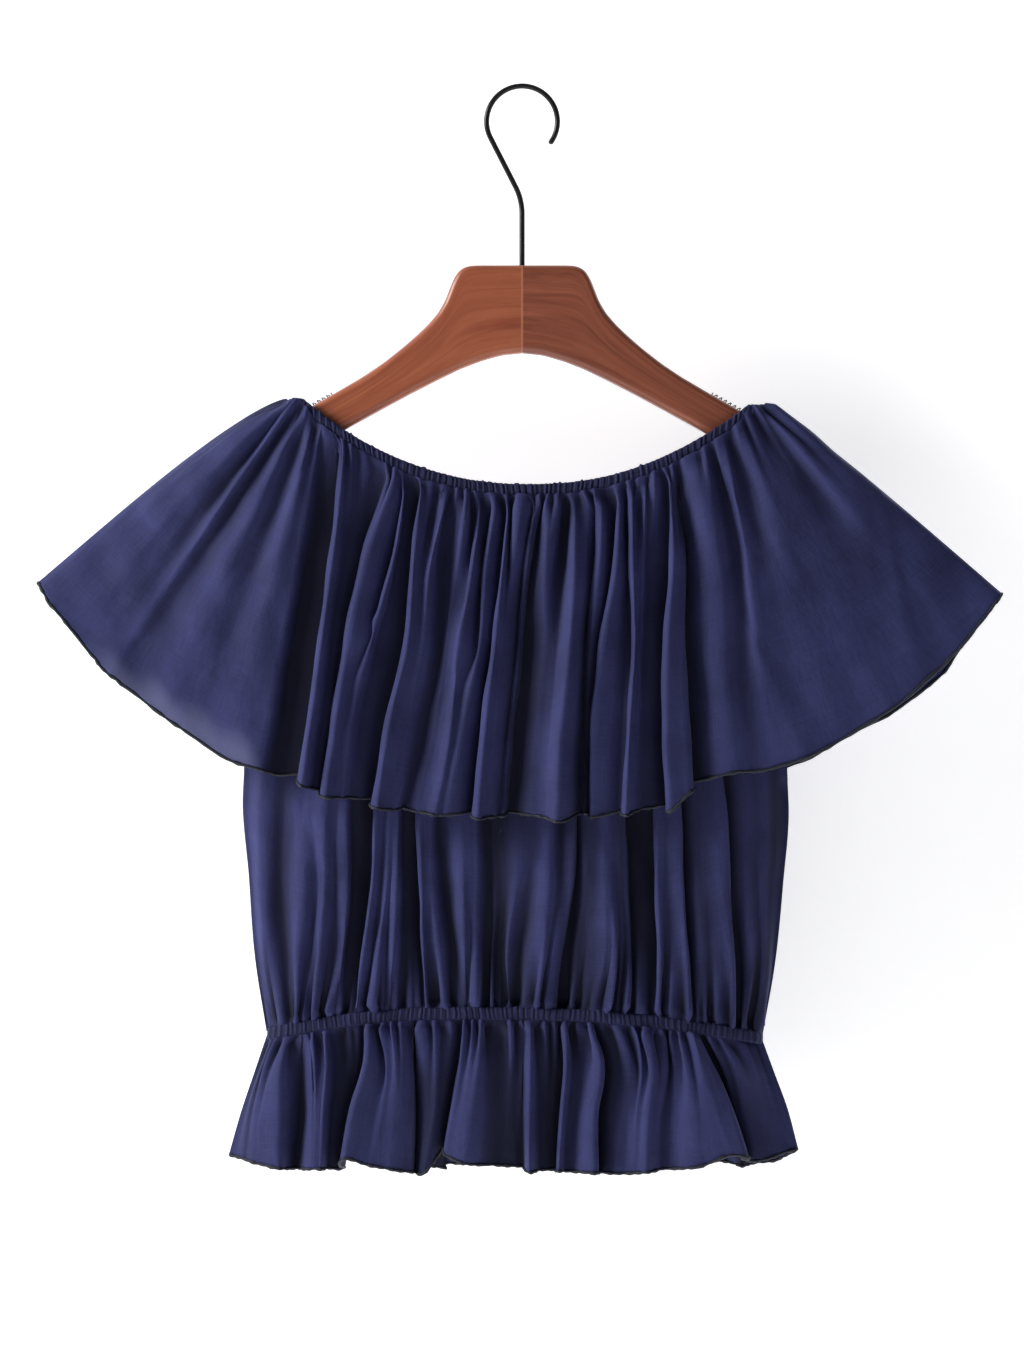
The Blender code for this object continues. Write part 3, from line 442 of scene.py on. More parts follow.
BODICE_FOLDS = table(
    BodiceFold,
    (-189, -185, -180.9, -173, 0, 0, 0, 0, 0),
    (-176.8, -176.8, -173.4, -166.4, 2, 1.5, 0.5, 0, 0),
    (-161.3, -164, -159.3, -157.3, -2, -3, -3, -1.8, 0.3),
    (-149.2, -147.2, -151.9, -154.6, 1, 3, 3, 1.8, 0),
    (-141.2, -139.1, -144.5, -149.9, 1.5, 0, -1.5, -1.2, 0.5),
    (-132.4, -133.1, -136.5, -139.8, 3, 3.5, 3, 1.5, 0.1),
    (-124.4, -127.1, -131.1, -135.8, 0, -1, -1.5, -1.2, 0.6),
    (-118.3, -117, -121, -127.1, 1, 2, 2.5, 1.5, 0),
    (-113.6, -113.6, -117.6, -123, -3, -3.5, -3, -1.2, 0),
    (-104.9, -106.9, -112.9, -119, -5, -6, -5, -2.1, 0.9),
    (-100.2, -102.2, -108.2, -114.3, 3.5, 4, 4, 1.5, 0.1),
    (-92.1, -96.1, -101.5, -104.2, 0, -1, -1.5, -1.2, 0.7),
    (-88.8, -91.4, -96.8, -99.5, 1.5, 1.5, 3, 1.5, 0.1),
    (-86.1, -88.1, -92.8, -94.8, 1, 0.5, -1, -1.2, 0.6),
    (-83.4, -84.1, -86.7, -90.1, 0.5, 2, 3.5, 1.5, 0.1),
    (-78.7, -79.4, -80, -82.7, -3.5, -3.5, -3, -1.2, 0),
    (-74, -74, -73.3, -71.3, -5, -6, -5, -1.8, 0.9),
    (-70.6, -69.3, -67.9, -65.9, 3.5, 3.5, 3, 1.2, 0.1),
    (-65.9, -65.2, -63.2, -59.9, 2, 1.5, -0.5, -1.2, 0.4),
    (-61.9, -61.2, -57.2, -54.5, 1, 1.5, 2.5, 1.5, 0),
    (-56.5, -52.5, -45.1, -42.4, -3, -3.5, -3.5, -1.8, 0.3),
    (-41.1, -39.7, -38.4, -37.7, 3.5, 4, 3.5, 1.2, 0),
    (-36.4, -35.7, -34.3, -34.3, 2.5, 2.5, 0, -1.2, 0.5),
    (-31.7, -31, -30.3, -30.3, 1.5, 1.5, 2, 1.5, 0),
    (-24.3, -22.3, -24.3, -25.6, -3.5, -3, -2.5, -1.2, 0.1),
    (-19.6, -17.5, -20.2, -20.9, -2.5, -2, -1.5, 0.9, 0),
    (-14.9, -13.5, -15.5, -16.2, -2, -1, -3.5, -1.2, 0.5),
    (-1.4, -4.1, -10.2, -8.8, 0.5, 2, 1.5, 1.2, 0),
    (8.7, 6, -1.4, -3.4, 1, 0, -1.5, -1.2, 0.2),
    (18.1, 17.4, 13.4, 7.3, 3, 4, 4, 1.5, 0),
    (25.4, 25.4, 20.1, 15.4, -2.5, -0.5, 1, -0.6, 0.4),
    (36.2, 34.9, 28.8, 24.1, 0, 1.5, 1, 0.9, 0),
    (38.2, 36.9, 30.8, 26.1, -4.5, -5, -4.5, -1.8, -0.6),
    (44.3, 43.6, 38.2, 32.2, 0, 0, -1, 0.6, 0),
    (49, 48.3, 43.6, 37.5, 0.5, 0.5, 0, -1.2, 0.2),
    (55, 57.7, 59.7, 52.3, 2.5, 3.5, 3.5, 1.5, 0),
    (61.7, 65.1, 65.1, 60.4, 1, 1, 0.5, -1.2, 0.3),
    (70.5, 71.8, 72.5, 69.1, 0, 0, -0.5, 0.9, 0),
    (72.5, 73.8, 74.5, 71.1, -6, -6, -4, -1.8, -0.6),
    (79.2, 79.2, 79.2, 78.5, -6, -5, -1.5, 1.2, 0),
    (85.2, 84.6, 85.2, 85.9, -6, -6, -5, -1.8, 0.8),
    (88.6, 89.3, 91.3, 90.6, 3, 3.5, 3, 1.5, 0.1),
    (96, 96.7, 98.7, 97.3, 1.5, 1, -0.5, -1.2, 0.3),
    (108.1, 109.4, 112.1, 112.8, 2.5, 3, 3.5, 1.5, 0),
    (110.1, 111.4, 114.1, 114.8, -3.5, -3.5, -3.5, -1.8, -0.7),
    (117.5, 118.8, 120.8, 120.8, 0, 0.5, 1.5, 1.2, 0),
    (122.2, 124.2, 126.9, 128.2, 0.5, 1, 0, -0.9, 0.3),
    (138.3, 140.3, 145, 145, 2.5, 3, 3.5, 1.5, 0),
    (140.3, 142.3, 147, 147, -3, -3, -3, -1.5, -0.6),
    (151.7, 153.1, 155.8, 151.1, 1, 1.5, 2, 1.2, 0),
    (157.8, 158.5, 159.8, 153.8, 0.5, 0.5, 0, -0.9, 0.3),
    (163.8, 163.2, 162.5, 156.4, 1.5, 1.5, 1, 0.9, 0),
    (171.4, 168, 165.6, 158.8, -1, -0.5, 0, -0.5, 0.2),
    (180.5, 176.8, 171.4, 162.8, 0, 0, 0, 0, 0),
)

PEPLUM_FOLDS = table(
    PeplumFold,
    (-172.6, -180.9, -189.7, -198.6, 721.8, 0, 0, 0, 0, 0),
    (-167.3, -178.2, -185, -188.4, 723.8, -0.5, -1, -1, -1, 1),
    (-161.3, -170.7, -176.1, -178.8, 725.9, 1, 1, 1, 1, 0.2),
    (-156.6, -163.3, -164, -164, 728.3, 2.5, 3, 3, 3.5, 0.1),
    (-149.2, -149.9, -150.6, -155.9, 729.6, -3, -4.5, -5, -6, 0.4),
    (-143.8, -141.2, -140.5, -141.2, 728.3, 2, 3.5, 3.5, 4, 0),
    (-139.1, -136.5, -137.1, -137.8, 728, -1, 2.2, 3.6, 4, 0.1),
    (-134.4, -132.4, -133.8, -135.1, 728.3, 2.5, 3.5, 3.5, 4, 0),
    (-127.1, -123.7, -127.1, -130.4, 728.8, -2, -3, -3.5, -3.5, 0),
    (-114.3, -112.9, -119, -125, 729, -4, -6, -7, -7, 0.9),
    (-106.2, -106.9, -115, -121, 720.6, 3, 5, 6, 7, 0.2),
    (-98.2, -93.5, -98.2, -104.9, 724.8, -1, 1, 3, 4, 0.2),
    (-87.4, -84.7, -86.7, -90.1, 727.9, 2.5, 3.5, 2.5, 2.5, 0),
    (-71.3, -71.3, -71.3, -72.6, 730.7, 1, 0, -0.5, -1, 0),
    (-68.6, -68.6, -68.6, -69.9, 731.1, -4, -6, -7, -7, -0.9),
    (-59.9, -59.2, -59.9, -65.9, 731.3, 2, 0, -1, -1, 0),
    (-49.1, -49.1, -53.2, -60.5, 715.6, -3, -5, -6, -6, 0.8),
    (-40.4, -43.1, -47.1, -53.2, 719, 1, 2, 3, 3, 0),
    (-28.3, -30.3, -34.3, -39, 724, 2.5, 4, 4.5, 4.5, 0.1),
    (-16.9, -16.2, -16.2, -17.5, 726.2, -2, -2, -2, -3, 0.1),
    (-10.2, -8.8, -9.5, -9.5, 726.8, 2, -0.5, -2, -3, 0.1),
    (-3.4, -2.8, -3.4, -2.8, 727.6, -2.5, -2.5, -3, -4, 0.5),
    (5.3, 4.6, 3.9, 3.9, 729.9, 3, 4, 4.5, 5, 0.1),
    (14.7, 15.4, 14.7, 12.7, 729.5, -1, -2, -2.5, -3, 0),
    (20.7, 22.1, 20.1, 17.4, 729.3, -3, -4, -5, -5, 0.8),
    (27.5, 28.1, 25.4, 22.8, 729.3, 3, 4, 4, 4, 0.1),
    (36.2, 36.9, 32.8, 30.1, 729.9, -3, -1.5, -1, -1, 0.2),
    (49, 55, 50.3, 50.3, 730.4, 3, 4.5, 4.5, 5, 0.1),
    (51.6, 57.7, 53, 53, 731.1, -4, -6, -7, -7, -0.9),
    (64.4, 72.5, 69.8, 67.1, 731.3, 1, 0, 0, 1, 0),
    (75.2, 81.2, 77.8, 76.5, 730.6, -1.5, 0.5, 2, 2.5, 0.2),
    (84.6, 88.6, 84.6, 83.2, 730, 3, 4, 4.5, 5, 0),
    (97.3, 100, 96, 94, 728.6, -2.5, -2, -1.5, -1, 0.2),
    (108.7, 114.1, 117.5, 118.8, 726.2, 3, 5, 5.5, 6, 0),
    (114.1, 123.5, 130.2, 138.3, 718.9, 2, 4.5, 6, 7, 0),
    (119.5, 131.6, 141, 150.4, 719.7, 1, 4.5, 6.5, 7.5, 0),
    (122.2, 134.3, 143.7, 153.1, 724, -3, -5.5, -7, -8, -1),
    (134.3, 147, 151.7, 162.5, 723.5, 0.5, 0, -1, -1, 0),
    (162.6, 170.7, 179.5, 187, 717.7, 0, 0, 0, 0, 0),
)

SOFT_LINES = table(
    SoftLine,
    (241.4, 274.4, 259, 365.5, 3, 0.7),
    (259, 365.5, 270.6, 392.7, 2.6, 0.9),
    (236, 300, 244, 352, 3.4, -0.5),
    (152, 290, 158, 395, 4, 0.5),
    (-205, 262, -252, 330, 3.6, 0.6),
    (-182, 252, -214, 322, 3.4, -0.5),
    (-196, 330, -214, 410, 4.6, 0.5),
    (-232, 352, -272, 388, 3.8, -0.4),
    (-92.5, 350.9, -114.2, 386.2, 1.7, 1.7),
)


def linear(red, green, blue):
    """A colour that is given as a screen shows it, from 0 to 255, as the linear colour a shader needs."""
    value = np.array((red, green, blue)) / 255.0
    curve = ((value + 0.055) / 1.055) ** 2.4
    return tuple(float(part) for part in np.where(value < 0.04045, value / 12.92, curve))


def smooth_step(value, low, high):
    """0 below low, 1 above high and an S-curve between them."""
    t = np.clip((value - low) / (high - low), 0.0, 1.0)
    return t * t * (3.0 - 2.0 * t)


def column(rows, name):
    """One named column of a table, in metres."""
    return np.array([getattr(row, name) for row in rows]) * MM


def down_through(places, values, level):
    """Values that are known at a few places down a panel, at every level.

    In each stretch it is a cubic whose slope at an end is the mean of the slopes on both sides.
    """
    places = np.array(places)
    step = np.diff(places)
    secant = np.diff(values, axis=1) / step
    inner = (secant[:, 1:] + secant[:, :-1]) / 2.0
    slope = np.concatenate([secant[:, :1], inner, secant[:, -1:]], axis=1)
    index = np.clip(np.searchsorted(places, level, side="right") - 1, 0, len(step) - 1)
    t = (level - places[index]) / step[index]
    return (
        (2.0 * t**3 - 3.0 * t**2 + 1.0) * values[:, index]
        + (t**3 - 2.0 * t**2 + t) * slope[:, index] * step[index]
        + (3.0 * t**2 - 2.0 * t**3) * values[:, index + 1]
        + (t**3 - t**2) * slope[:, index + 1] * step[index]
    ).T


def gaps(count, per_gap):
    """For every column of a panel: the fold to its left, and how far it is towards the next one."""
    place = np.arange((count - 1) * per_gap + 1) / per_gap
    index = np.minimum(place.astype(int), count - 2)
    return index, place - index


def straight_across(values, per_gap):
    """Values at the folds, shared out evenly over the columns between them."""
    index, t = gaps(values.shape[-1], per_gap)
    return values[..., index] * (1.0 - t) + values[..., index + 1] * t


def smooth_across(values, per_gap):
    """Values at the folds, run through as a Catmull-Rom curve."""
    last = values.shape[-1] - 1
    index, t = gaps(last + 1, per_gap)
    before, here = values[..., np.maximum(index - 1, 0)], values[..., index]
    after, beyond = values[..., index + 1], values[..., np.minimum(index + 2, last)]
    return 0.5 * (
        2.0 * here
        + (after - before) * t
        + (2.0 * before - 5.0 * here + 4.0 * after - beyond) * t**2
        + (3.0 * (here - after) + beyond - before) * t**3
    )


def folds_across(rise, crease, per_gap):
    """Height of the cloth between crests and hollows.

    Between two folds it is a cubic. It leaves a fold level where that is rounded, and at twice the
    mean slope where it is a sharp crease.
    """
    index, t = gaps(rise.shape[-1], per_gap)
    here, after = rise[..., index], rise[..., index + 1]
    share = (
        3.0 * t**2
        - 2.0 * t**3
        + 2.0 * crease[index] * (t**3 - 2.0 * t**2 + t)
        + 2.0 * crease[index + 1] * (t**3 - t**2)
    )
    return here + (after - here) * share


def scaled(height):
    """Fold heights with hollows drawn in further than crests stand out."""
    return height * np.where(height < 0.0, HOLLOW_SCALE, CREST_SCALE)


def slow_mean(values, reach):
    """The mean of the rows within a reach above and below, by differences of a running total."""
    padded = np.pad(values, ((reach + 1, reach), (0, 0)), mode="edge")
    total = np.cumsum(padded, axis=0)
    return (total[2 * reach + 1 :] - total[: -2 * reach - 1]) / (2 * reach + 1)


def tucked_across(x, rise, crease, per_gap):
    """x of every column, with each creased hollow tucked in behind a crest beside it.

    That crest lies to the right where crease is positive and to the left where it is negative. The
    hollow moves to just past the crest's edge, the crest's top moves on a little, and the flank
    between them bulges back over the hollow by half a sine, in proportion to the flank's height.
    """
    count = len(crease)
    step = np.where(crease < 0.0, -1, 1)
    crest = np.clip(np.arange(count) + step, 0, count - 1)
    climb = rise[:, crest] - rise
    share = smooth_step(np.abs(crease), *SHARP_CREASE)
    share = share * smooth_step(slow_mean(climb, CLIMB_ROWS), *CLIMB_TO_TUCK)
    moved = x + share * (x[:, crest] + step * TUCK - x)
    np.add.at(moved, (slice(None), crest), step * CREST_ROLL * share)
    index, t = gaps(count, per_gap)
    flank = share * climb * step
    from_left = np.where(step[index] > 0, flank[:, index], 0.0)
    from_right = np.where(step[index + 1] < 0, flank[:, index + 1], 0.0)
    return straight_across(moved, per_gap) - OVERHANG * (from_left + from_right) * np.sin(math.pi * t)


def fold_grid(folds, x_at, places, rise_at, rises, level, per_gap, share=1.0):
    """x of every point of a panel, and the height of its folds there as a share of the table's."""
    crease = np.array([fold.crease for fold in folds])
    rise = scaled(down_through(rise_at, rises, level)) * share
    x = tucked_across(down_through(x_at, places, level), rise, crease, per_gap)
    return x, folds_across(rise, np.abs(crease), per_gap)


def soft_maximum(first, second, blend):
    """The larger of two surfaces, with a fillet of about the blend's size where they cross."""
    return 0.5 * (first + second + np.sqrt((first - second) ** 2 + blend**2))


def body_depth(x, drop):
    """How far the bodice stands out under the flounce: neck ring to bust, closing in at the sides.

    Down the body it follows an S-curve, and across it the root of 1 minus the 5th power of the share
    of the way out from the middle.
    """
    down = smooth_step(drop, *BODY_DROPS)
    share = np.clip(np.abs(x - BODY_MIDDLE) / BODY_HALF_WIDTH, 0.0, 1.0)
    round_off = np.sqrt(np.clip(1.0 - share**5, 0.0, 1.0))
    at_neck, at_bust = BODY_DEPTHS
    return (at_neck + (at_bust - at_neck) * down) * round_off


def rounded_depth(x, depth, power):
    """Depth of a panel across its width.

    It is depth times the root of 1 minus a power of the share of the way out from the middle.
    """
    middle, half = (x.max() + x.min()) / 2, (x.max() - x.min()) / 2
    share = np.clip(np.abs(x - middle) / half, 0.0, 1.0)
    return depth * np.sqrt(np.clip(1.0 - share**power, 0.0, 1.0))


class Ring(NamedTuple):
    """An elastic: a flattened ring in plan whose height changes with x."""

    middle: float
    half_width: float
    half_depth: float
    squareness: float

    def depth(self, x):
        """How far the ring stands out from y = 0 at x: a superellipse in plan."""
        share = np.clip(np.abs(x - self.middle) / self.half_width, 0.0, 1.0)
        return self.half_depth * (1.0 - share**self.squareness) ** (1.0 / self.squareness)

    def outside(self, x, distance):
        """The ring's points at x, moved outwards by distance: x and how far from y = 0."""
        depth = self.depth(x)
        power = self.squareness - 1.0
        slope_x = (np.abs(x - self.middle) / self.half_width) ** power / self.half_width
        slope_y = (depth / self.half_depth) ** power / self.half_depth
        length = np.hypot(slope_x, slope_y)
        moved = x + np.sign(x - self.middle) * distance * slope_x / length
        return moved, depth + distance * slope_y / length

    def outline(self):
        """The ring in plan from the left end along the front and back again, and the way walked."""
        turn = np.linspace(0.0, 2.0 * math.pi, 8001)
        power = 2.0 / self.squareness
        x = self.middle - self.half_width * np.sign(np.cos(turn)) * np.abs(np.cos(turn)) ** power
        y = -self.half_depth * np.sign(np.sin(turn)) * np.abs(np.sin(turn)) ** power
        walked = np.concatenate([[0.0], np.cumsum(np.hypot(np.diff(x), np.diff(y)))])
        return x, y, walked

    def around(self, count):
        """count points in plan, evenly spaced, and the way walked to each."""
        x, y, walked = self.outline()
        at = np.arange(count) / count * walked[-1]
        return np.interp(at, walked, x), np.interp(at, walked, y), at

    def walk_to(self, x):
        """The way along the front from the left end to x."""
        ring_x, _, walked = self.outline()
        front = slice(0, len(ring_x) // 2 + 1)
        return np.interp(x, ring_x[front], walked[front])


NECK = Ring(0.00325, 0.15875, 0.0130, 6.0)
WAIST = Ring(-0.0050, 0.1660, 0.0200, 2.8)


def sag(x, low_x, low_drop, ends, end_drops, power):
    """Drop of an elastic that is at low_drop at low_x and bends to its end drops on both sides."""
    span = np.where(x < low_x, low_x - ends[0], ends[1] - low_x)
    share = np.clip(np.abs(x - low_x) / span, 0.0, 1.0)
    end = np.where(x < low_x, *end_drops)
    return low_drop + (end - low_drop) * share**power


def neck_top_drop(x):
    """Drop of the neck casing's top edge: lowest near the middle, level on each shoulder."""
    return sag(x, NECK_LOW_X, NECK_LOW_DROP, NECK_SAG_ENDS, NECK_SHOULDER_DROPS, NECK_SAG_POWER)


def neck_turn(x):
    """0 along the front and back of the neckline, 1 where it turns over an arm of the hanger."""
    return smooth_step(np.abs(x - NECK.middle), *NECK_TURN)


def neck_casing_tall(x):
    """Height of the neck casing: a little less where it turns over an arm."""
    return NECK_CASING_TALL + (NECK_CASING_TALL_AT_TURN - NECK_CASING_TALL) * neck_turn(x)


def neck_middle_drop(x):
    """Drop of the neck casing's middle."""
    return neck_top_drop(x) + neck_casing_tall(x) / 2


def waist_casing_tall(x):
    """Height of the waist casing, the same at every x."""
    return np.full_like(x, WAIST_CASING_TALL)


def waist_middle_drop(x):
    """Drop of the waist casing's middle: highest near the centre, lower at both sides."""
    ends = (WAIST.middle - WAIST.half_width, WAIST.middle + WAIST.half_width)
    return sag(x, WAIST_HIGH_X, WAIST_HIGH_DROP, ends, WAIST_END_DROPS, WAIST_SAG_POWER)


def scatter(index, seed):
    """A number from 0 to 1 for each index that follows no visible order."""
    return np.mod(np.sin(index * 12.9898 + seed * 78.233) * 43758.5453, 1.0)


def uneven_waves(walked, pitch, seed, steep=0.5):
    """Gathers along an elastic: crests a pitch apart on average, each with its own width and height.

    The phase is the way walked over the pitch, shifted a little by slow sines. A crest climbs
    steeply on its left and falls away slowly on its right, and its height is drawn per gather.
    """
    shift = 0.32 * np.sin(walked * 95.0 + seed) + 0.21 * np.sin(walked * 233.0 + 2.1 * seed)
    phase = walked / pitch + shift
    number = np.floor(phase)
    part = phase - number
    crest = smooth_step(part, 0.0, steep) * (1.0 - np.clip((part - steep) / (1.0 - steep), 0.0, 1.0) ** 1.5)
    return crest * (0.45 + 0.55 * scatter(number, seed)), number


def gather_field(walked, fall, pitch, height, reach, seed):
    """Fine gathers that run down from an elastic.

    Each grows within a few millimetres of the elastic and dies away over its own length, between
    0.7 and 2 times reach.
    """
    crest, number = uneven_waves(walked, pitch, seed, 0.30)
    own = reach * (0.7 + 1.3 * scatter(number + 37.0, seed))
    grow = 0.40 + 0.60 * smooth_step(fall, 0.0, 0.006)
    return height * (crest - 0.5) * grow * np.exp(-((fall / own) ** 1.4))


def drawn_in(depth, fall, elastic_depth):
    """Depth of a sheet near its elastic: it bends in to the elastic's own depth over the last millimetres.

    The share kept of the difference goes from 0 to 1 on a smooth step of the way from the elastic.
    """
    return elastic_depth + (depth - elastic_depth) * smooth_step(fall, ELASTIC_HOLD, ELASTIC_PULL)


def wrinkle_field(x, drop, lean, relief, seed, height):
    """Faint creases between the folds.

    Each is a ridge along a short line: a Gauss curve across the line times one along it. lean
    is how far the cloth's own folds swing sideways per unit of drop, and each ridge nearly follows it.
    """
    pick = np.random.default_rng(seed)
    total = np.zeros_like(x)
    left, right, top, bottom = relief.crease_box
    for _ in range(relief.creases):
        centre_x, centre_drop = pick.uniform(left, right), pick.uniform(top, bottom)
        length = pick.uniform(0.018, 0.060)
        width = pick.uniform(0.0018, 0.0050)
        amount = height * pick.choice((-1.0, 1.0)) * pick.uniform(0.35, 1.0)
        swing = lean(centre_x) + pick.normal(0.0, 0.12)
        along = (drop - centre_drop) / length
        over = (x - centre_x - swing * (drop - centre_drop)) / width
        total += amount * np.exp(-(along**2) - over**2)
    return total


def line_field(x, drop, lines):
    """Ridges along given lines: a Gauss curve of the distance from the line, fading at its ends."""
    total = np.zeros_like(x)
    for line in lines:
        start = np.array((line.start_x, line.start_drop)) * MM
        way = np.array((line.end_x, line.end_drop)) * MM - start
        length = np.hypot(*way)
        way /= length
        along = (x - start[0]) * way[0] + (drop - start[1]) * way[1]
        over = (x - start[0]) * way[1] - (drop - start[1]) * way[0]
        inside = smooth_step(along, -0.008, 0.010) * smooth_step(length - along, -0.008, 0.010)
        total += line.rise * MM * inside * np.exp(-((over / (line.width * MM)) ** 2))
    return total


def swell_field(x, drop, height, seed):
    """Slow swells of a few centimetres: three crossing sines with seeded phases."""
    pick = np.random.default_rng(seed).uniform(0.0, 2.0 * math.pi, 3)
    return height * (
        0.5 * np.sin(x * 118.0 + drop * 31.0 + pick[0])
        + 0.3 * np.sin(x * 187.0 - drop * 74.0 + pick[1])
        + 0.2 * np.sin(x * 61.0 + drop * 143.0 + pick[2])
    )


def push_out(points, amount, side):
    """Every point moved along the sheet's own normal, the cross product of its two directions."""
    across_way = np.gradient(points, axis=1)
    down_way = np.gradient(points, axis=0)
    normal = np.cross(down_way, across_way)
    normal /= np.maximum(np.linalg.norm(normal, axis=-1, keepdims=True), 1e-12)
    if side == "back":
        normal = -normal
    return points + normal * amount[..., None]


def edge_fade(columns, width):
    """0 at both side edges of a panel and 1 away from them, so that two halves meet."""
    place = np.arange(columns)
    return smooth_step(np.minimum(place, columns - 1 - place), 0, width)


def fold_lean(top_x, bottom_x, fall):
    """How far the folds swing sideways per unit of drop, as a function of x."""
    return lambda x: float(np.interp(x, top_x, (bottom_x - top_x) / fall))


def bell(x, amount, middle, reach):
    """A flat-topped bell of x: e to minus the 4th power of the way from its middle over its reach."""
    return amount * np.exp(-(((x - middle) / reach) ** 4))


def painted_shade_share(relief, deep):
    """Painted shade of a hollow: 0 on crests and flat cloth, 1 at the bottom of a hollow that is at least
    that deep.
    """
    return np.clip(-relief / deep, 0.0, 1.0) ** 0.65


def fine_relief(relief, side, form, painted_shade_bias, looks, grow=1.0):
    """Gathers and faint creases of a sheet, and how strongly each point is painted dark as the shade of a
    hollow, from 0 to 1.

    form is x, drop, the distance from the elastic, the way along it and the height of the folds.
    The painted shade is read from that height plus the gathers, less the depth that the painted shade bias
    takes off.
    """
    x, drop, fall, walked, height = form
    seed = relief.seed_for(side)
    gather_height = looks.gather_height * relief.gathers
    fine = grow * gather_field(walked, fall, looks.gather_pitch, gather_height, relief.gather_reach, seed)
    hollow = painted_shade_share(height + fine * relief.gathers_in_painted_shade - painted_shade_bias, relief.deep)
    lean = fold_lean(x[0, :: relief.lean_step], x[-1, :: relief.lean_step], relief.lean_fall)
    return fine + wrinkle_field(x, drop, lean, relief, int(seed), looks.wrinkle_height), hollow


def sheet_points(x, depth, drop, fine, fade, side):
    """Points of a sheet with its fine relief along the normal, which fades at both side edges."""
    points = np.stack([x, SIDES[side] * depth, -drop], axis=-1)
    return push_out(points, fine * edge_fade(x.shape[1], fade), side)


def closed_to_edge(depth, edge, per_gap):
    """Depth that closes in to the edge's own depth over the last fold at both side edges."""
    near = 1.0 - edge_fade(depth.shape[1], per_gap)
    return np.maximum(depth * (1.0 - near) + edge * near, edge)


def new_object(name, points, uv, finish, closed_across=False, closed_down=False, flip=False):
    """A mesh over a grid of points, with a UV map in metres that doesn't jump at a closed seam."""
    rows, columns = points.shape[:2]
    down_count = rows if closed_down else rows - 1
    across_count = columns if closed_across else columns - 1
    row, col = np.meshgrid(np.arange(down_count), np.arange(across_count), indexing="ij")
    corner_rows = np.stack([row, row + 1, row + 1, row], axis=-1).reshape(-1, 4)
    corner_cols = np.stack([col, col, col + 1, col + 1], axis=-1).reshape(-1, 4)
    if flip:
        corner_rows, corner_cols = corner_rows[:, ::-1], corner_cols[:, ::-1]
    index = (corner_rows % rows) * columns + corner_cols % columns
    mesh = bpy.data.meshes.new(name)
    mesh.vertices.add(rows * columns)
    mesh.vertices.foreach_set("co", np.ascontiguousarray(points, dtype=np.float32).ravel())
    mesh.loops.add(index.size)
    mesh.loops.foreach_set("vertex_index", index.ravel().astype(np.int32))
    mesh.polygons.add(len(index))
    mesh.polygons.foreach_set("loop_start", np.arange(0, index.size, 4, dtype=np.int32))
    mesh.update()
    u, v = uv
    layer = mesh.uv_layers.new(name="UVMap")
    loops = np.stack([u[corner_rows, corner_cols], v[corner_rows, corner_cols]], axis=-1)
    layer.uv.foreach_set("vector", loops.astype(np.float32).ravel())
    mesh.validate()
    mesh.polygons.foreach_set("use_smooth", np.ones(len(mesh.polygons), dtype=bool))
    mesh.materials.append(finish)
    obj = bpy.data.objects.new(name, mesh)
    bpy.context.scene.collection.objects.link(obj)
    return obj


def sheet_uv(points):
    """The cloth's own metres: the way across at mid height, and the way down from the top edge."""
    over = np.linalg.norm(np.diff(points, axis=1), axis=-1).mean(axis=0)
    down = np.linalg.norm(np.diff(points, axis=0), axis=-1)
    u = np.concatenate([[0.0], np.cumsum(over)])
    v = np.concatenate([np.zeros((1, points.shape[1])), np.cumsum(down, axis=0)])
    return np.broadcast_to(u, v.shape), v


def mask_attribute(obj, values, name):
    """Writes a number for every point, which the material reads by name."""
    layer = obj.data.attributes.new(name, "FLOAT", "POINT")
    layer.data.foreach_set("value", np.ascontiguousarray(values, dtype=np.float32).ravel())


def join_to_model(obj, slot, *nodes):
    """Puts an object on the one body, in place of the solids it replaces; slot is not used."""
    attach(obj, "root")
    if nodes:
        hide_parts(*nodes)


def cloth_sheet(name, side, points, masks, looks, fabric):
    """One half of a piece of cloth as a thin shell, thickened inwards, with its masks."""
    obj = new_object(f"{name}_{side}_cloth", points, sheet_uv(points), fabric, flip=side == "back")
    wall = obj.modifiers.new("Cloth thickness", "SOLIDIFY")
    wall.thickness = looks.cloth_thickness
    wall.offset = -1.0
    wall.use_even_offset = False
    for mask, values in masks.items():
        mask_attribute(obj, values, mask)
    join_to_model(obj, "navy_cloth", f"{name}_{side}")
    return obj, points


def path_length(path):
    """The way walked along a path to each of its points."""
    return np.concatenate([[0.0], np.cumsum(np.linalg.norm(np.diff(path, axis=0), axis=1))])


def carried_tube(path, normal, binormal, radius, sides):
    """A round profile of a given radius at each point of a path: rows go along, columns around."""
    turn = np.arange(sides) / sides * 2.0 * math.pi
    radius = np.broadcast_to(radius, (len(path),))[:, None, None]
    ring = np.cos(turn)[None, :, None] * normal[:, None] + np.sin(turn)[None, :, None] * binormal[:, None]
    return path[:, None] + radius * ring


def path_frame(path, reference):
    """Unit normals across a path: the part of reference square to it, and the third direction."""
    ahead = np.gradient(path, axis=0)
    ahead /= np.linalg.norm(ahead, axis=1, keepdims=True)
    normal = reference - ahead * np.sum(reference * ahead, axis=1, keepdims=True)
    normal /= np.linalg.norm(normal, axis=1, keepdims=True)
    return normal, np.cross(ahead, normal)


def tube_uv(path, radius, sides):
    """UV of a tube in metres: the way along its path and the way round it."""
    around = np.arange(sides + 1) / sides * 2.0 * math.pi * radius
    return np.meshgrid(path_length(path), around, indexing="ij")


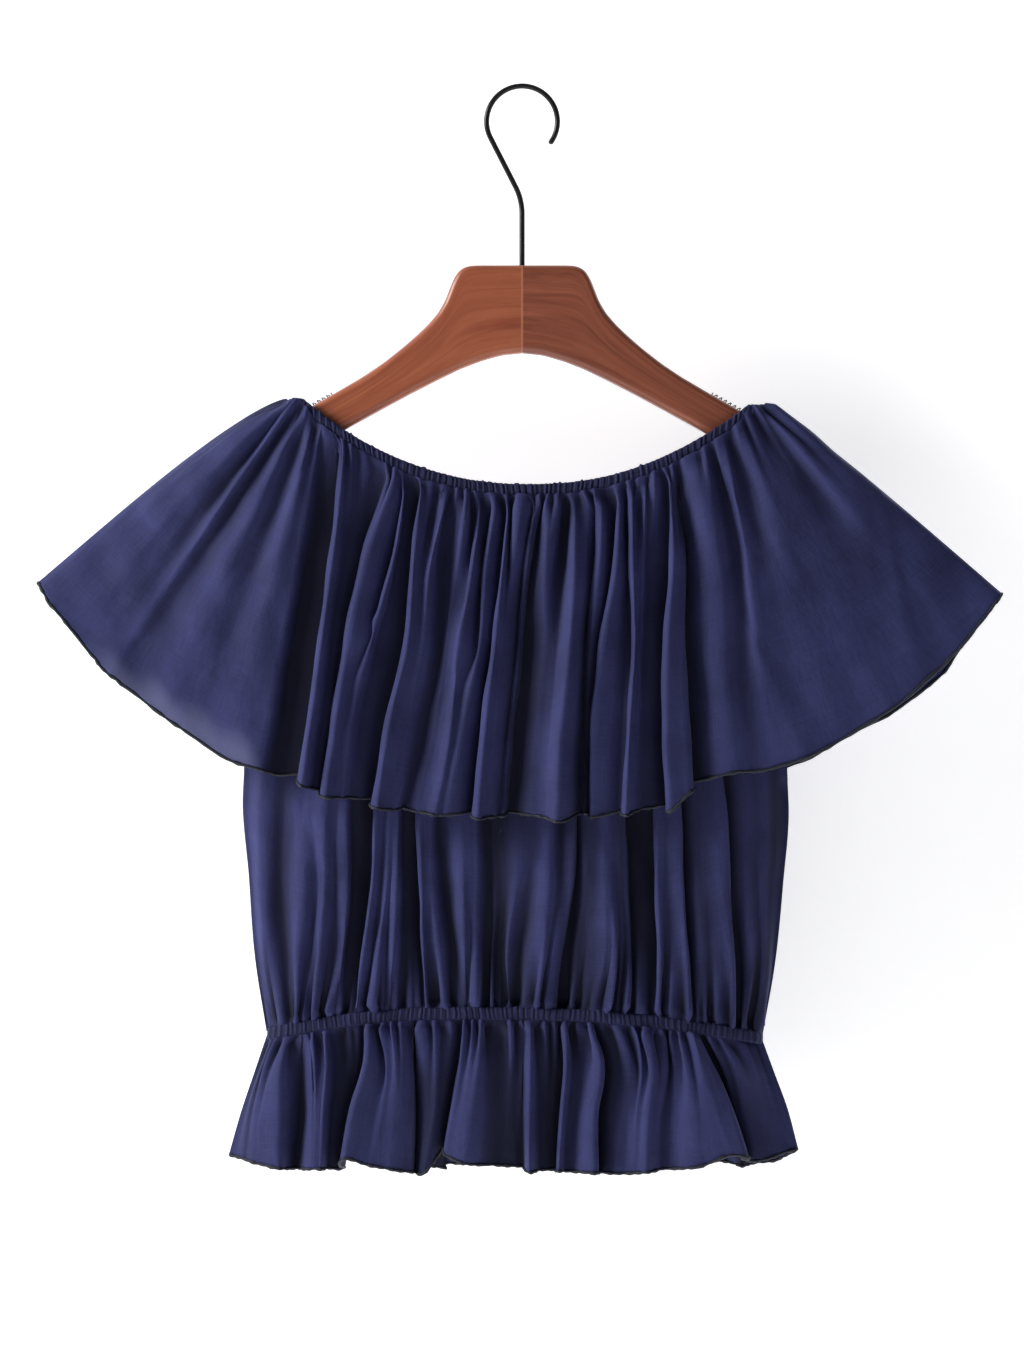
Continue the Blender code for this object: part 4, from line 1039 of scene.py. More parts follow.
def turned_round(folds, turn):
    """The front's fold rows for the back: in reverse order, with x and crease negated.

    x is shifted and swayed by a slow sine of the fold's number, and the rises are warped by another,
    so that no fold of the back is a copy.
    """
    turned = []
    for number, fold in enumerate(reversed(folds[turn.rows])):
        warp = 1.0 + turn.warp * math.sin(number * turn.warp_pace + turn.warp_start)
        sway = turn.sway * math.sin(number * turn.sway_pace)
        values = []
        for name, value in zip(fold._fields, fold):
            if name.startswith("rise_"):
                values.append(value * warp)
            elif name == "hem_drop":
                values.append(value + turn.hem_lower)
            else:
                values.append(-value if name == "crease" else -value + turn.shift + sway)
        turned.append(type(fold)(*values))
    return turned


def half_folds(side, folds, turn):
    """The fold rows of one half of a panel: both halves have the same rows at the side seams."""
    return folds if side == "front" else (folds[0], *turned_round(folds, turn), folds[-1])


def flounce_folds(side):
    """The fold rows of one half of the flounce, from its left edge to its right edge."""
    if side == "front":
        return *LEFT_WING, *FLOUNCE_FOLDS, *RIGHT_WING
    return *LEFT_WING, *turned_round(FLOUNCE_FOLDS, FLOUNCE_TURN), *BACK_RIGHT_WING


def flounce_form(side):
    """One half of the flounce: x, depth, drop, distance from the neck, way along it, fold height.

    x runs through each fold's own places. The drop runs straight from the neck elastic to the hem,
    less a bow over the shoulder, a half sine of level to the power 0.66, and a share of the folds'
    height is added near the hem. The depth goes from the ring's to the hem's as level to the power
    0.65, plus a half sine for the arch over the hanger's arm and the folds, and stays off the bodice.
    """
    folds = flounce_folds(side)
    level = np.linspace(0.0, 1.0, FLOUNCE_ROWS) ** FLOUNCE_ROW_POWER
    places = np.array([fold.places() for fold in folds]) * MM
    rises = np.array([(0.0, f.rise_neck, f.rise_upper, f.rise_lower, f.rise_hem) for f in folds]) * MM
    out_share = np.abs(column(folds, "hem")) / FLOUNCE_HALF_WIDTH
    centre_depth = FLOUNCE_HEM_DEPTH_MM * np.clip(1.0 - out_share**2.2, 0.0, 1.0) ** 0.62
    hem_depth = np.array([getattr(fold, "hem_depth", d) for fold, d in zip(folds, centre_depth)]) * MM
    hem_drop, bow, over_arm, hem = (
        smooth_across(values, FLOUNCE_PER_GAP)
        for values in (*(column(folds, name) for name in ("hem_drop", "bow", "over_arm")), hem_depth)
    )
    neck_line = straight_across(column(folds, "neck"), FLOUNCE_PER_GAP)
    start_x, start_depth = NECK.outside(neck_line, NECK_CASING_THICK / 2 + OFF_CASING)
    start_rise = FLOUNCE_RISE_AT_TURN * neck_turn(neck_line) + FLOUNCE_OVER_CASING
    start_drop = neck_top_drop(neck_line) + neck_casing_tall(neck_line) - start_rise
    x, height = fold_grid(folds, FLOUNCE_X_AT, places, FLOUNCE_RISE_AT, rises, level, FLOUNCE_PER_GAP)
    level = level[:, None]
    x = x + (start_x - x[:1]) * (1.0 - level) ** 3
    drop = start_drop + (hem_drop - start_drop) * level
    drop = drop - bow * np.sin(math.pi * level**0.66)
    hem = np.maximum(hem, 0.0)
    from_edge = np.minimum(np.arange(hem.size), np.arange(hem.size)[::-1]) / FLOUNCE_PER_GAP
    rounder = np.sqrt(np.clip(from_edge, 1e-6, 1.0)) / np.maximum(from_edge, 1e-6)
    hem = hem * np.where(from_edge < 1.0, rounder, 1.0) ** 0.6
    depth = start_depth + (hem - start_depth) * level**0.65
    arch = over_arm * np.sin(math.pi * np.minimum(level * ARCH_ENDS_EARLY, 1.0))
    depth = depth + np.maximum(arch, 0.0)
    folded = depth + height * np.minimum(depth / FLOUNCE_FOLDS_FROM, 1.0)
    lowest = np.minimum(body_depth(x, drop) + OFF_BODICE, depth)
    depth = soft_maximum(folded, lowest, CONTACT_BLEND) - CONTACT_LIFT
    near_hem = smooth_step(level, HEM_WAVES_FROM, 1.0)
    drop = drop + near_hem * np.clip(height, -HEM_WAVE_LIMIT, HEM_WAVE_LIMIT) * HEM_WAVE_SHARE
    fall = np.hypot(x - x[0], drop - drop[0])
    walked = np.broadcast_to(NECK.walk_to(neck_line), x.shape)
    return x, depth, drop, fall, walked, height


def flounce(side, looks, fabric):
    """One half of the flounce as a thin sheet with its folds, fine gathers and faint creases.

    Near the centre more of the cloth is painted dark, as painted shade: the depth taken off before that shade
    is read is a flat-topped bell of x.
    """
    x, depth, drop, fall, walked, height = flounce_form(side)
    sign = SIDES[side]
    painted_shade_bias = bell(x, *FLOUNCE_PAINTED_SHADE)
    fine, hollow = fine_relief(FLOUNCE_RELIEF, side, (x, drop, fall, walked, height), painted_shade_bias, looks)
    if side == "front":
        fine += line_field(x, drop, SOFT_LINES)
    swell = swell_field(x, drop, looks.wrinkle_height * 1.5, int(FLOUNCE_RELIEF.seed_for(side)))
    fine += swell * smooth_step(fall, 0.0, 0.05)
    points = sheet_points(x, depth, drop, fine, FLOUNCE_RELIEF.fade, side)
    lowest = np.minimum(body_depth(points[..., 0], -points[..., 2]) + 0.0012, depth)
    points[..., 1] = sign * soft_maximum(sign * points[..., 1], lowest, 0.0006)
    points[:, [0, -1], 1] = sign * SEAM_GAP / 2
    # Painted light and shade: the band over the left wing's hem is painted paler as light through one layer,
    # and the hollows of the folds are painted dark.
    masks = {"painted_backlight": painted_backlight_band(x, drop, side), "hollow": hollow}
    return cloth_sheet("flounce", side, points, masks, looks, fabric)


def painted_backlight_band(x, drop, side):
    """Painted backlight: 1 where a single layer of cloth hangs free with light behind it, to be painted
    paler: a band over the left wing's hem.

    It starts at a sloping, slightly wavy line above the hem and ends softly at both sides.
    """
    if side == "back":
        return np.zeros_like(x)
    start = PATCH_DROP + (x - PATCH_X) * PATCH_SLOPE + PATCH_WAVE * np.sin(x * 210.0)
    band = smooth_step(drop - start, *PATCH_SOFT)
    return band * smooth_step(x, *PATCH_LEFT) * smooth_step(-x, *PATCH_RIGHT)


def bodice(side, looks, fabric):
    """One half of the bodice, from the neck elastic past the armholes to the waist elastic.

    The depth runs straight from the neck ring to the bust, and below the underarm to the waist as the
    cube of the way. Above the underarm the side edge stands off as the armhole: a root of 1 minus the
    6th power of the way down to it.
    """
    folds = half_folds(side, BODICE_FOLDS, BODICE_TURN)
    level = np.linspace(0.0, 1.0, BODICE_ROWS) ** BODICE_ROW_POWER
    names = ("bust", "middle", "lower", "waist")
    neck_of = np.clip(column(folds, "bust") * NECK_OF_BUST, *BODICE_NECK_ENDS)
    places = np.stack([neck_of, *(column(folds, name) for name in names)], axis=1)
    rises = np.stack([0.0 * neck_of, *(column(folds, "rise_" + name) for name in names)], axis=1)
    x, height = fold_grid(
        folds, BODICE_AT, places, BODICE_AT, rises, level, BODICE_PER_GAP, BODICE_FOLD_SHARE
    )
    level = level[:, None]
    neck_x, waist_x = x[:1], x[-1:]
    neck_drop = neck_top_drop(neck_x) + neck_casing_tall(neck_x) + SEAM_GAP
    waist_drop = waist_middle_drop(waist_x) - WAIST_CASING_TALL * SHEET_IN_CASING
    drop = neck_drop + (waist_drop - neck_drop) * level
    bust_x = straight_across(column(folds, "bust"), BODICE_PER_GAP)
    bust_depth = rounded_depth(bust_x, BUST_DEPTH, BUST_POWER)
    above = np.minimum(level / UNDERARM_AT, 1.0)
    below = np.maximum((level - UNDERARM_AT) / (1.0 - UNDERARM_AT), 0.0)
    neck_depth = NECK.depth(neck_x) * INSIDE_NECK
    depth = neck_depth + (bust_depth - neck_depth) * above
    depth = depth + (WAIST.depth(waist_x) + WAIST_BLOUSE - bust_depth) * below**3
    depth = depth + height * np.clip(depth / FULL_FOLDS_FROM, 0.0, 1.0)
    fall = drop[-1] - drop
    depth = drawn_in(depth, fall, WAIST.depth(waist_x))
    walked = np.broadcast_to(WAIST.walk_to(waist_x), x.shape)
    # Painted shade: the hollows are painted darker a little everywhere and more over the right half.
    painted_shade_bias = BODICE_PAINTED_SHADE_ALL + BODICE_PAINTED_SHADE * smooth_step(x, *BODICE_PAINTED_SHADE_FROM)
    grow = smooth_step(fall, 0.0, ELASTIC_PULL)
    fine, hollow = fine_relief(BODICE_RELIEF, side, (x, drop, fall, walked, height), painted_shade_bias, looks, grow)
    fine += swell_field(x, drop, looks.wrinkle_height * 1.4, int(BODICE_RELIEF.seed_for(side)))
    armhole = ARMHOLE_DEPTH * np.sqrt(np.clip(1.0 - above[:, 0] ** 6, 0.0, 1.0))
    depth = closed_to_edge(depth, np.maximum(armhole, SEAM_GAP / 2)[:, None], BODICE_PER_GAP)
    points = sheet_points(x, depth, drop, fine, BODICE_RELIEF.fade, side)
    # The hollow mask paints shade into the bodice's folds.
    return cloth_sheet("bodice", side, points, {"hollow": hollow}, looks, fabric)


def peplum(side, looks, fabric):
    """One half of the peplum: it flares from the waist elastic to a wavy hem.

    The depth goes from the waist's to the hem's as level to the power 0.7, plus the folds.
    """
    folds = half_folds(side, PEPLUM_FOLDS, PEPLUM_TURN)
    level = np.linspace(0.0, 1.0, PEPLUM_ROWS) ** PEPLUM_ROW_POWER
    names = ("waist", "upper", "lower", "hem")
    places = np.stack([column(folds, name) for name in names], axis=1)
    down = [column(folds, "rise_" + name) for name in names]
    rises = np.stack([down[0] * 0.4, *down], axis=1)
    x, height = fold_grid(folds, PEPLUM_X_AT, places, PEPLUM_RISE_AT, rises, level, PEPLUM_PER_GAP)
    level = level[:, None]
    waist_x = x[:1]
    waist_drop = waist_middle_drop(waist_x) + WAIST_CASING_TALL * SHEET_IN_CASING
    hem_drop = smooth_across(column(folds, "hem_drop"), PEPLUM_PER_GAP)
    drop = waist_drop + (hem_drop - waist_drop) * level
    hem_depth = rounded_depth(x[-1:], PEPLUM_HEM_DEPTH, PEPLUM_HEM_POWER)
    waist_depth = WAIST.depth(waist_x) + WAIST_BLOUSE * PEPLUM_BLOUSE
    depth = waist_depth + (hem_depth - waist_depth) * level**0.7
    depth = depth + height * np.clip(depth / FULL_FOLDS_FROM, 0.0, 1.0)
    fall = drop - drop[0]
    depth = drawn_in(depth, fall, WAIST.depth(waist_x))
    walked = np.broadcast_to(WAIST.walk_to(waist_x), x.shape)
    # Painted shade: the hollows are painted darker a little everywhere and more near the centre.
    painted_shade_bias = PEPLUM_PAINTED_SHADE_ALL + bell(x, *PEPLUM_PAINTED_SHADE)
    grow = smooth_step(fall, 0.0, ELASTIC_PULL)
    fine, hollow = fine_relief(PEPLUM_RELIEF, side, (x, drop, fall, walked, height), painted_shade_bias, looks, grow)
    depth = closed_to_edge(depth, SEAM_GAP / 2, PEPLUM_PER_GAP)
    points = sheet_points(x, depth, drop, fine, PEPLUM_RELIEF.fade, side)
    # The hollow mask paints shade into the peplum's folds.
    return cloth_sheet("peplum", side, points, {"hollow": hollow}, looks, fabric)


def casing(name, ring, thick, tall, middle_drop, looks, fabric, seed):
    """A gathered tube of cloth round its elastic.

    The profile is a flattened superellipse carried along the ring. Its outer side swells by the
    gathers' height, two sets of uneven waves, and its top and bottom edges rise and fall with them.
    """
    x, y, walked = ring.around(CASING_COLUMNS)
    ahead = np.stack([np.roll(x, -1) - np.roll(x, 1), np.roll(y, -1) - np.roll(y, 1)], axis=-1)
    ahead /= np.linalg.norm(ahead, axis=-1, keepdims=True)
    out_x, out_y = -ahead[:, 1], ahead[:, 0]
    flip = np.where(out_x * (x - ring.middle) + out_y * y < 0.0, -1.0, 1.0)
    out_x, out_y = out_x * flip, out_y * flip
    whole = ring.outline()[2][-1]
    pitch = whole / round(whole / looks.ridge_pitch)
    crest, number = uneven_waves(walked, pitch, seed)
    second, _ = uneven_waves(walked, pitch * SECOND_PITCH, seed + 5.0)
    crest = (1.0 - SECOND_SHARE) * crest + SECOND_SHARE * second
    crest *= smooth_step(walked, 0.0, RIDGE_JOIN) * smooth_step(whole - walked, 0.0, RIDGE_JOIN)
    turn = (np.arange(CASING_SIDES) / CASING_SIDES * 2.0 * math.pi)[:, None]
    out_share = np.sign(np.cos(turn)) * np.abs(np.cos(turn)) ** 0.6
    up_share = np.sign(np.sin(turn)) * np.abs(np.sin(turn)) ** 0.8
    outer = np.clip(np.cos(turn) + 0.25, 0.0, 1.0)
    out = thick / 2 * out_share + RIDGE_HEIGHT * (crest - 0.25) * outer
    tilt = CASING_TILT * np.sin(walked * 61.0 + up_share * 1.5)
    up = tall(x) / 2 * up_share + EDGE_RIDGE * (crest - 0.4) * np.abs(up_share)
    tuft = smooth_step(scatter(number + 11.0, seed), 0.80, 0.95) * crest
    up = up + TUFT_HEIGHT * tuft * np.clip(np.sin(turn), 0.0, 1.0)
    points = np.stack(
        [x + out_x * out + ahead[:, 0] * tilt, y + out_y * out + ahead[:, 1] * tilt, up - middle_drop(x)],
        axis=-1,
    )
    around = np.arange(CASING_SIDES + 1) / CASING_SIDES * 2.0 * (thick + tall(0.0))
    v, u = np.meshgrid(around, np.append(walked, whole), indexing="ij")
    obj = new_object(f"{name}_cloth", points, (u, v), fabric, closed_across=True, closed_down=True, flip=True)
    # Painted shade: the casing is painted dark all over and less so on the crests of its gathers, through the
    # hollow mask.
    mask_attribute(obj, np.broadcast_to(CASING_PAINTED_SHADE - CREST_LESS_PAINTED_SHADE * crest, out.shape), "hollow")
    join_to_model(obj, "navy_cloth", name)


def hem_thread(name, edge, sign, radius, finish):
    """The overlocked edge of a hem: a roll of thread carried along the sheet's last row.

    Its radius varies by two sines of the way along it and ends in a point at both side seams.
    """
    path = edge.copy()
    path[:, 1] -= sign * THREAD_INSET
    normal, binormal = path_frame(path, np.array((0.0, 0.0, 1.0)))
    walked = path_length(path)
    thick = radius * sum((share * np.sin(walked * pace) for share, pace in THREAD_WAVES), 1.0)
    thick = thick * smooth_step(np.minimum(walked, walked[-1] - walked), -THREAD_END, THREAD_END)
    points = carried_tube(path, normal, binormal, thick, THREAD_SIDES)
    uv = tube_uv(path, radius, THREAD_SIDES)
    obj = new_object(name, points, uv, finish, closed_across=True)
    join_to_model(obj, "navy_cloth")
    return obj


def soft_outline(points):
    """A smooth curve through a table of points, evenly spaced for HANGER_COLUMNS.

    The straight stretches between them are averaged under a Gauss curve, past whose ends the line is
    mirrored.
    """
    line = np.array(points) * MM
    walked = np.concatenate([[0.0], np.cumsum(np.hypot(*np.diff(line, axis=0).T))])
    fine = np.linspace(0.0, walked[-1], OUTLINE_STEPS + 1)
    curve = np.stack([np.interp(fine, walked, line[:, k]) for k in (0, 1)], axis=-1)
    weight = np.exp(-((np.arange(-SOFT_REACH, SOFT_REACH + 1) / SOFT_WIDTH) ** 2))
    weight /= weight.sum()
    before = 2 * curve[0] - curve[SOFT_REACH:0:-1]
    after = 2 * curve[-1] - curve[-2 : -SOFT_REACH - 2 : -1]
    padded = np.concatenate([before, curve, after])
    soft = np.stack([np.convolve(padded[:, k], weight, mode="valid") for k in (0, 1)], axis=-1)
    at = np.linspace(0.0, OUTLINE_STEPS, HANGER_COLUMNS)
    steps = np.arange(OUTLINE_STEPS + 1)
    return np.stack([np.interp(at, steps, soft[:, k]) for k in (0, 1)], axis=-1)


def matched_outline():
    """The hanger's top and bottom edge at matching shares of their lengths, then its round end.

    Returns the points of both edges and the outward unit normal at each, in the plane x and drop.
    """
    above, below = soft_outline(ARM_TOP), soft_outline(ARM_UNDER)
    middle, up = (above[-1] + below[-1]) / 2, (above[-1] - below[-1]) / 2
    radius = np.hypot(*up)
    way = np.array((-up[1], up[0])) / radius
    way = way if way[0] > 0.0 else -way
    turn = np.linspace(0.0, math.pi / 2, END_STEPS)[1:, None]
    end_above = middle + up * np.cos(turn) + way * radius * np.sin(turn)
    end_below = middle - up * np.cos(turn) + way * radius * np.sin(turn)
    above, below = np.concatenate([above, end_above]), np.concatenate([below, end_below])
    normals = []
    for line, sense in ((above, 1.0), (below, -1.0)):
        ahead = np.gradient(line, axis=0)
        ahead /= np.linalg.norm(ahead, axis=1, keepdims=True)
        normals.append(np.stack([ahead[:, 1] * sense, -ahead[:, 0] * sense], axis=-1))
    normals[0][-1] = normals[1][-1] = way
    return above, below, normals[0], normals[1]


def hanger_half(name, sign, wood, looks):
    """Half of the wooden hanger: a board with rolled edges, from the centre joint to its round end.

    Each column is a loop round the board. Over a rolled edge the loop moves in from the outline by
    r times 1 minus the cosine, and outwards in thickness by r times the sine.
    """
    above, below, out_above, out_below = matched_outline()
    half = looks.wood_thickness / 2 - WOOD_INSET
    roll = looks.wood_rounding
    turn = np.linspace(0.0, math.pi / 2, ROLL_STEPS)
    rolled = list(zip(roll * (1.0 - np.cos(turn)), half - roll + roll * np.sin(turn)))
    top_in, low_in = above - out_above * roll, below - out_below * roll
    shares = np.linspace(0.0, 1.0, FACE_STEPS)[1:-1]
    front = [
        *((above - out_above * inset, -face) for inset, face in rolled),
        *((top_in * (1.0 - share) + low_in * share, -half) for share in shares),
        *((below - out_below * inset, -face) for inset, face in reversed(rolled)),
    ]
    back = [(flat, -y) for flat, y in reversed(front)]
    loops = [(sign * flat[:, 0], np.full(len(flat), y), -flat[:, 1]) for flat, y in front + back]
    points = np.stack(loops).transpose(0, 2, 1).copy()
    points[:, 0, 0] = sign * GLUE_LINE
    cap = np.broadcast_to(points[:, :1].mean(axis=0, keepdims=True), points[:, :1].shape)
    beside = points[:, :1] + np.array((sign * GLUE_COLUMN, 0.0, 0.0))
    points = np.concatenate([cap, points[:, :1], beside, points[:, 1:]], axis=1)
    walked = np.concatenate([[0.0, 0.0, 0.0], path_length((above + below) / 2)[1:]])
    around = path_length(points[:, 40])
    v, u = np.meshgrid(np.append(around, around[-1] + MM), walked, indexing="ij")
    obj = new_object(f"{name}_wood", points, (u, v), wood, closed_down=True, flip=sign < 0)
    join_to_model(obj, "stained_wood", name)


def hook_path():
    """Shank, a slow bend to the left, a straight stretch, then the round of the hook."""
    centre_z = WIRE_RADIUS - HOOK_RADIUS
    below = HOOK_BEND_BELOW + centre_z
    lean = math.asin(HOOK_RADIUS / below)
    run = HOOK_BEND_RADIUS * math.tan(lean / 2)
    bend_z = -HOOK_BEND_BELOW - run
    foot_z = -WOOD_TOP_DROP - SHANK_IN_WOOD
    shank = np.stack([np.zeros(SHANK_STEPS), np.linspace(foot_z, bend_z, SHANK_STEPS)], axis=-1)[:-1]
    turn = np.linspace(0.0, lean, BEND_STEPS)
    bend = np.stack(
        [-HOOK_BEND_RADIUS * (1.0 - np.cos(turn)), bend_z + HOOK_BEND_RADIUS * np.sin(turn)], axis=-1
    )
    turn = np.linspace(-math.pi / 2 - lean, math.pi / 2 + HOOK_TIP_TURN, LOOP_STEPS)
    loop = np.stack([HOOK_RADIUS * np.sin(turn), centre_z + HOOK_RADIUS * np.cos(turn)], axis=-1)
    rise = np.linspace(0.0, 1.0, SHANK_STEPS)[1:-1, None]
    straight = bend[-1] + (loop[0] - bend[-1]) * rise
    flat = np.concatenate([shank, bend, straight, loop])
    return np.stack([flat[:, 0], np.zeros(len(flat)), flat[:, 1]], axis=-1)


def hook(finish):
    """The hook: a round wire carried along its bent path, its end rounded off by a quarter circle."""
    path = hook_path()
    cap = np.linspace(0.0, math.pi / 2, CAP_STEPS)[1:]
    way = (path[-1] - path[-2]) / np.linalg.norm(path[-1] - path[-2])
    full = np.concatenate([path, path[-1] + way * (WIRE_RADIUS * np.sin(cap))[:, None]])
    thick = np.append(np.full(len(path), WIRE_RADIUS), np.maximum(WIRE_RADIUS * np.cos(cap), 1e-5))
    normal, binormal = path_frame(full, np.array((0.0, 1.0, 0.0)))
    points = carried_tube(full, normal, binormal, thick, WIRE_SIDES)
    uv = tube_uv(full, WIRE_RADIUS, WIRE_SIDES)
    obj = new_object("hook_wire", points, uv, finish, closed_across=True)
    join_to_model(obj, "black_wire", "hook")


def arm_top_at(out):
    """Drop of the arm's top edge at a distance out from the centre, straight between table points."""
    return MM * np.interp(out / MM, [p.out for p in ARM_TOP], [p.drop for p in ARM_TOP])


def grip(name, sign, looks, finish):
    """The grip on an arm: a steel coil laid along its top edge, carried as a round wire on a helix."""
    start, stop = GRIP_START, GRIP_START + GRIP_PITCH * GRIP_TEETH
    angle = np.linspace(0.0, GRIP_TEETH * 2.0 * math.pi, GRIP_TEETH * COIL_STEPS + 1)
    out = start + (stop - start) * angle / angle[-1]
    slope = (arm_top_at(stop) - arm_top_at(start)) / (stop - start)
    along = np.array((1.0, 0.0, -slope)) / math.hypot(1.0, slope)
    up = np.array((slope, 0.0, 1.0)) / math.hypot(1.0, slope)
    centre = np.stack([out, np.zeros_like(out), -arm_top_at(out)], axis=-1)
    coil = looks.coil_radius
    path = (
        centre
        + up * (np.cos(angle) * coil)[:, None]
        + np.array((0.0, 1.0, 0.0)) * (np.sin(angle) * coil * COIL_DEEPER)[:, None]
        + along * (np.cos(angle) * coil * COIL_LEAN)[:, None]
    )
    path[:, 0] *= sign
    normal, binormal = path_frame(path, path - centre * np.array((sign, 1.0, 1.0)))
    thick = looks.coil_wire * smooth_step(np.minimum(angle, angle[-1] - angle), -0.4, 0.4)
    points = carried_tube(path, normal, binormal, thick, COIL_SIDES)
    uv = tube_uv(path, looks.coil_wire, COIL_SIDES)
    obj = new_object(f"{name}_coil", points, uv, finish, closed_across=True, flip=sign < 0)
    join_to_model(obj, "grey_steel", name)


def node(tree, kind, **settings):
    """A new shader node with the given settings."""
    made = tree.nodes.new(kind)
    for name, value in settings.items():
        setattr(made, name, value)
    return made


def feed(made, **values):
    """Links or sets a node's inputs by name, with _ for a blank."""
    for name, value in values.items():
        socket = made.inputs[name.replace("_", " ")]
        if isinstance(value, bpy.types.NodeSocket):
            made.id_data.links.new(value, socket)
        else:
            socket.default_value = value


def maths(tree, operation, *values):
    """The result of a maths node on sockets and plain numbers."""
    made = node(tree, "ShaderNodeMath", operation=operation)
    for socket, value in zip(made.inputs, values):
        if isinstance(value, (int, float)):
            socket.default_value = value
        else:
            tree.links.new(value, socket)
    return made.outputs[0]


def mix_colour(tree, factor, first, second):
    """The first colour where factor is 0 and the second where it is 1, blended evenly between."""
    made = node(tree, "ShaderNodeMix", data_type="RGBA")
    for name, value in (("Factor_Float", factor), ("A_Color", first), ("B_Color", second)):
        socket = next(s for s in made.inputs if s.identifier == name)
        if isinstance(value, bpy.types.NodeSocket):
            tree.links.new(value, socket)
        else:
            socket.default_value = (*value, 1.0)
    return next(s for s in made.outputs if s.identifier == "Result_Color")


def noise(tree, vector, **values):
    """Noise over a vector, as a value about 0.5."""
    made = node(tree, "ShaderNodeTexNoise")
    feed(made, Vector=vector, **values)
    return made.outputs["Fac"]


def stretched(tree, vector, scale):
    """A vector with each of its parts times its own scale."""
    made = node(tree, "ShaderNodeMapping")
    feed(made, Vector=vector, Scale=scale)
    return made.outputs[0]


def share_between(tree, value, low, high):
    """How far a value is from low to high, kept within 0 and 1."""
    made = node(tree, "ShaderNodeMapRange")
    feed(made, Value=value, From_Min=low, From_Max=high)
    return made.outputs[0]


def split(tree, vector):
    """The three parts of a vector."""
    made = node(tree, "ShaderNodeSeparateXYZ")
    feed(made, Vector=vector)
    return made.outputs


def cloth_place(tree):
    """The surface's own metres from its UV map."""
    return node(tree, "ShaderNodeUVMap", uv_map="UVMap").outputs[0]


def object_place(tree):
    """The place in the object's own space."""
    return node(tree, "ShaderNodeTexCoord").outputs["Object"]


def new_group(name, numbers, outputs):
    """A shader node group with a vector input, numbers with their defaults, and outputs of numbers."""
    group = bpy.data.node_groups.new(name, "ShaderNodeTree")
    group.interface.new_socket("Vector", in_out="INPUT", socket_type="NodeSocketVector")
    for label, default in numbers.items():
        socket = group.interface.new_socket(label, in_out="INPUT", socket_type="NodeSocketFloat")
        socket.default_value = default
    for label in outputs:
        group.interface.new_socket(label, in_out="OUTPUT", socket_type="NodeSocketFloat")
    return group, node(group, "NodeGroupInput").outputs, node(group, "NodeGroupOutput")


def weave_group():
    """A soft plain weave with slubs.

    Threads are two crossing sine waves of the UV metres. Slubs are noise stretched along each
    thread's own way, and crinkles are noise of a few millimetres. Height sums the three, and Shade
    is the slow patchiness of the dye.
    """
    group, given, out = new_group(
        "Soft weave", {"Threads per metre": 1700.0, "Crinkle": 1.0}, ("Height", "Shade")
    )
    place = given["Vector"]
    parts = split(group, place)
    turns = maths(group, "MULTIPLY", given["Threads per metre"], math.pi)
    warp, weft = (maths(group, "SINE", maths(group, "MULTIPLY", parts[k], turns)) for k in (0, 1))
    slubs = []
    for stretch in ((900.0, 70.0, 1.0), (60.0, 1000.0, 1.0)):
        slub = noise(group, stretched(group, place, stretch), Scale=1.0, Detail=2.0, Roughness=0.6)
        slubs.append(maths(group, "SUBTRACT", slub, 0.5))
    uneven = stretched(group, place, (260.0, 120.0, 1.0))
    crinkle = noise(group, uneven, Scale=1.0, Detail=4.0, Roughness=0.55, Distortion=0.4)
    soft = maths(group, "MULTIPLY", maths(group, "SUBTRACT", crinkle, 0.5), given["Crinkle"])
    threads = maths(group, "MULTIPLY", warp, weft)
    height = maths(group, "MULTIPLY_ADD", threads, 0.10, maths(group, "MULTIPLY", soft, 2.2))
    for slub in slubs:
        height = maths(group, "MULTIPLY_ADD", slub, 0.55, height)
    patch = noise(group, place, Scale=22.0, Detail=3.0, Roughness=0.5)
    fleck = maths(group, "ADD", *slubs)
    feed(out, Height=height, Shade=maths(group, "MULTIPLY_ADD", fleck, 0.5, patch))
    return group


def grain_group():
    """Straight wood grain along U: bands of noise stretched along the board, with fine pores."""
    group, given, out = new_group("Wood grain", {"Seed": 0.0}, ("Bands", "Pores", "Height"))
    shift = node(group, "ShaderNodeCombineXYZ")
    feed(shift, X=given["Seed"], Y=given["Seed"])
    moved = node(group, "ShaderNodeVectorMath", operation="ADD")
    for socket, value in zip(moved.inputs, (given["Vector"], shift.outputs[0])):
        group.links.new(value, socket)
    wide = stretched(group, moved.outputs[0], (9.0, 130.0, 1.0))
    narrow = stretched(group, moved.outputs[0], (55.0, 1500.0, 1.0))
    bands = noise(group, wide, Scale=1.0, Detail=5.0, Roughness=0.6, Distortion=0.9)
    bands = share_between(group, bands, 0.3, 0.7)
    pores = noise(group, narrow, Scale=1.0, Detail=2.0, Roughness=0.6, Distortion=0.0)
    pores = share_between(group, pores, 0.56, 0.74)
    height = maths(group, "MULTIPLY_ADD", pores, -0.7, maths(group, "MULTIPLY", bands, 0.3))
    feed(out, Bands=bands, Pores=pores, Height=height)
    return group


def placed_group(tree, name, build, **values):
    """Outputs of a shared node group, which is built at its first use."""
    made = node(tree, "ShaderNodeGroup")
    made.node_tree = bpy.data.node_groups.get(name) or build()
    feed(made, **values)
    return made.outputs


def blank_material(name):
    """A material with only its shader and its output."""
    made = bpy.data.materials.get(name) or bpy.data.materials.new(name)
    made.use_nodes = True
    tree = made.node_tree
    tree.nodes.clear()
    shader = node(tree, "ShaderNodeBsdfPrincipled")
    feed(node(tree, "ShaderNodeOutputMaterial"), Surface=shader.outputs[0])
    return made, tree, shader


def bump(tree, height, strength, distance):
    """The normal of a relief whose height is given."""
    made = node(tree, "ShaderNodeBump")
    feed(made, Strength=strength, Distance=distance, Height=height)
    return made.outputs[0]


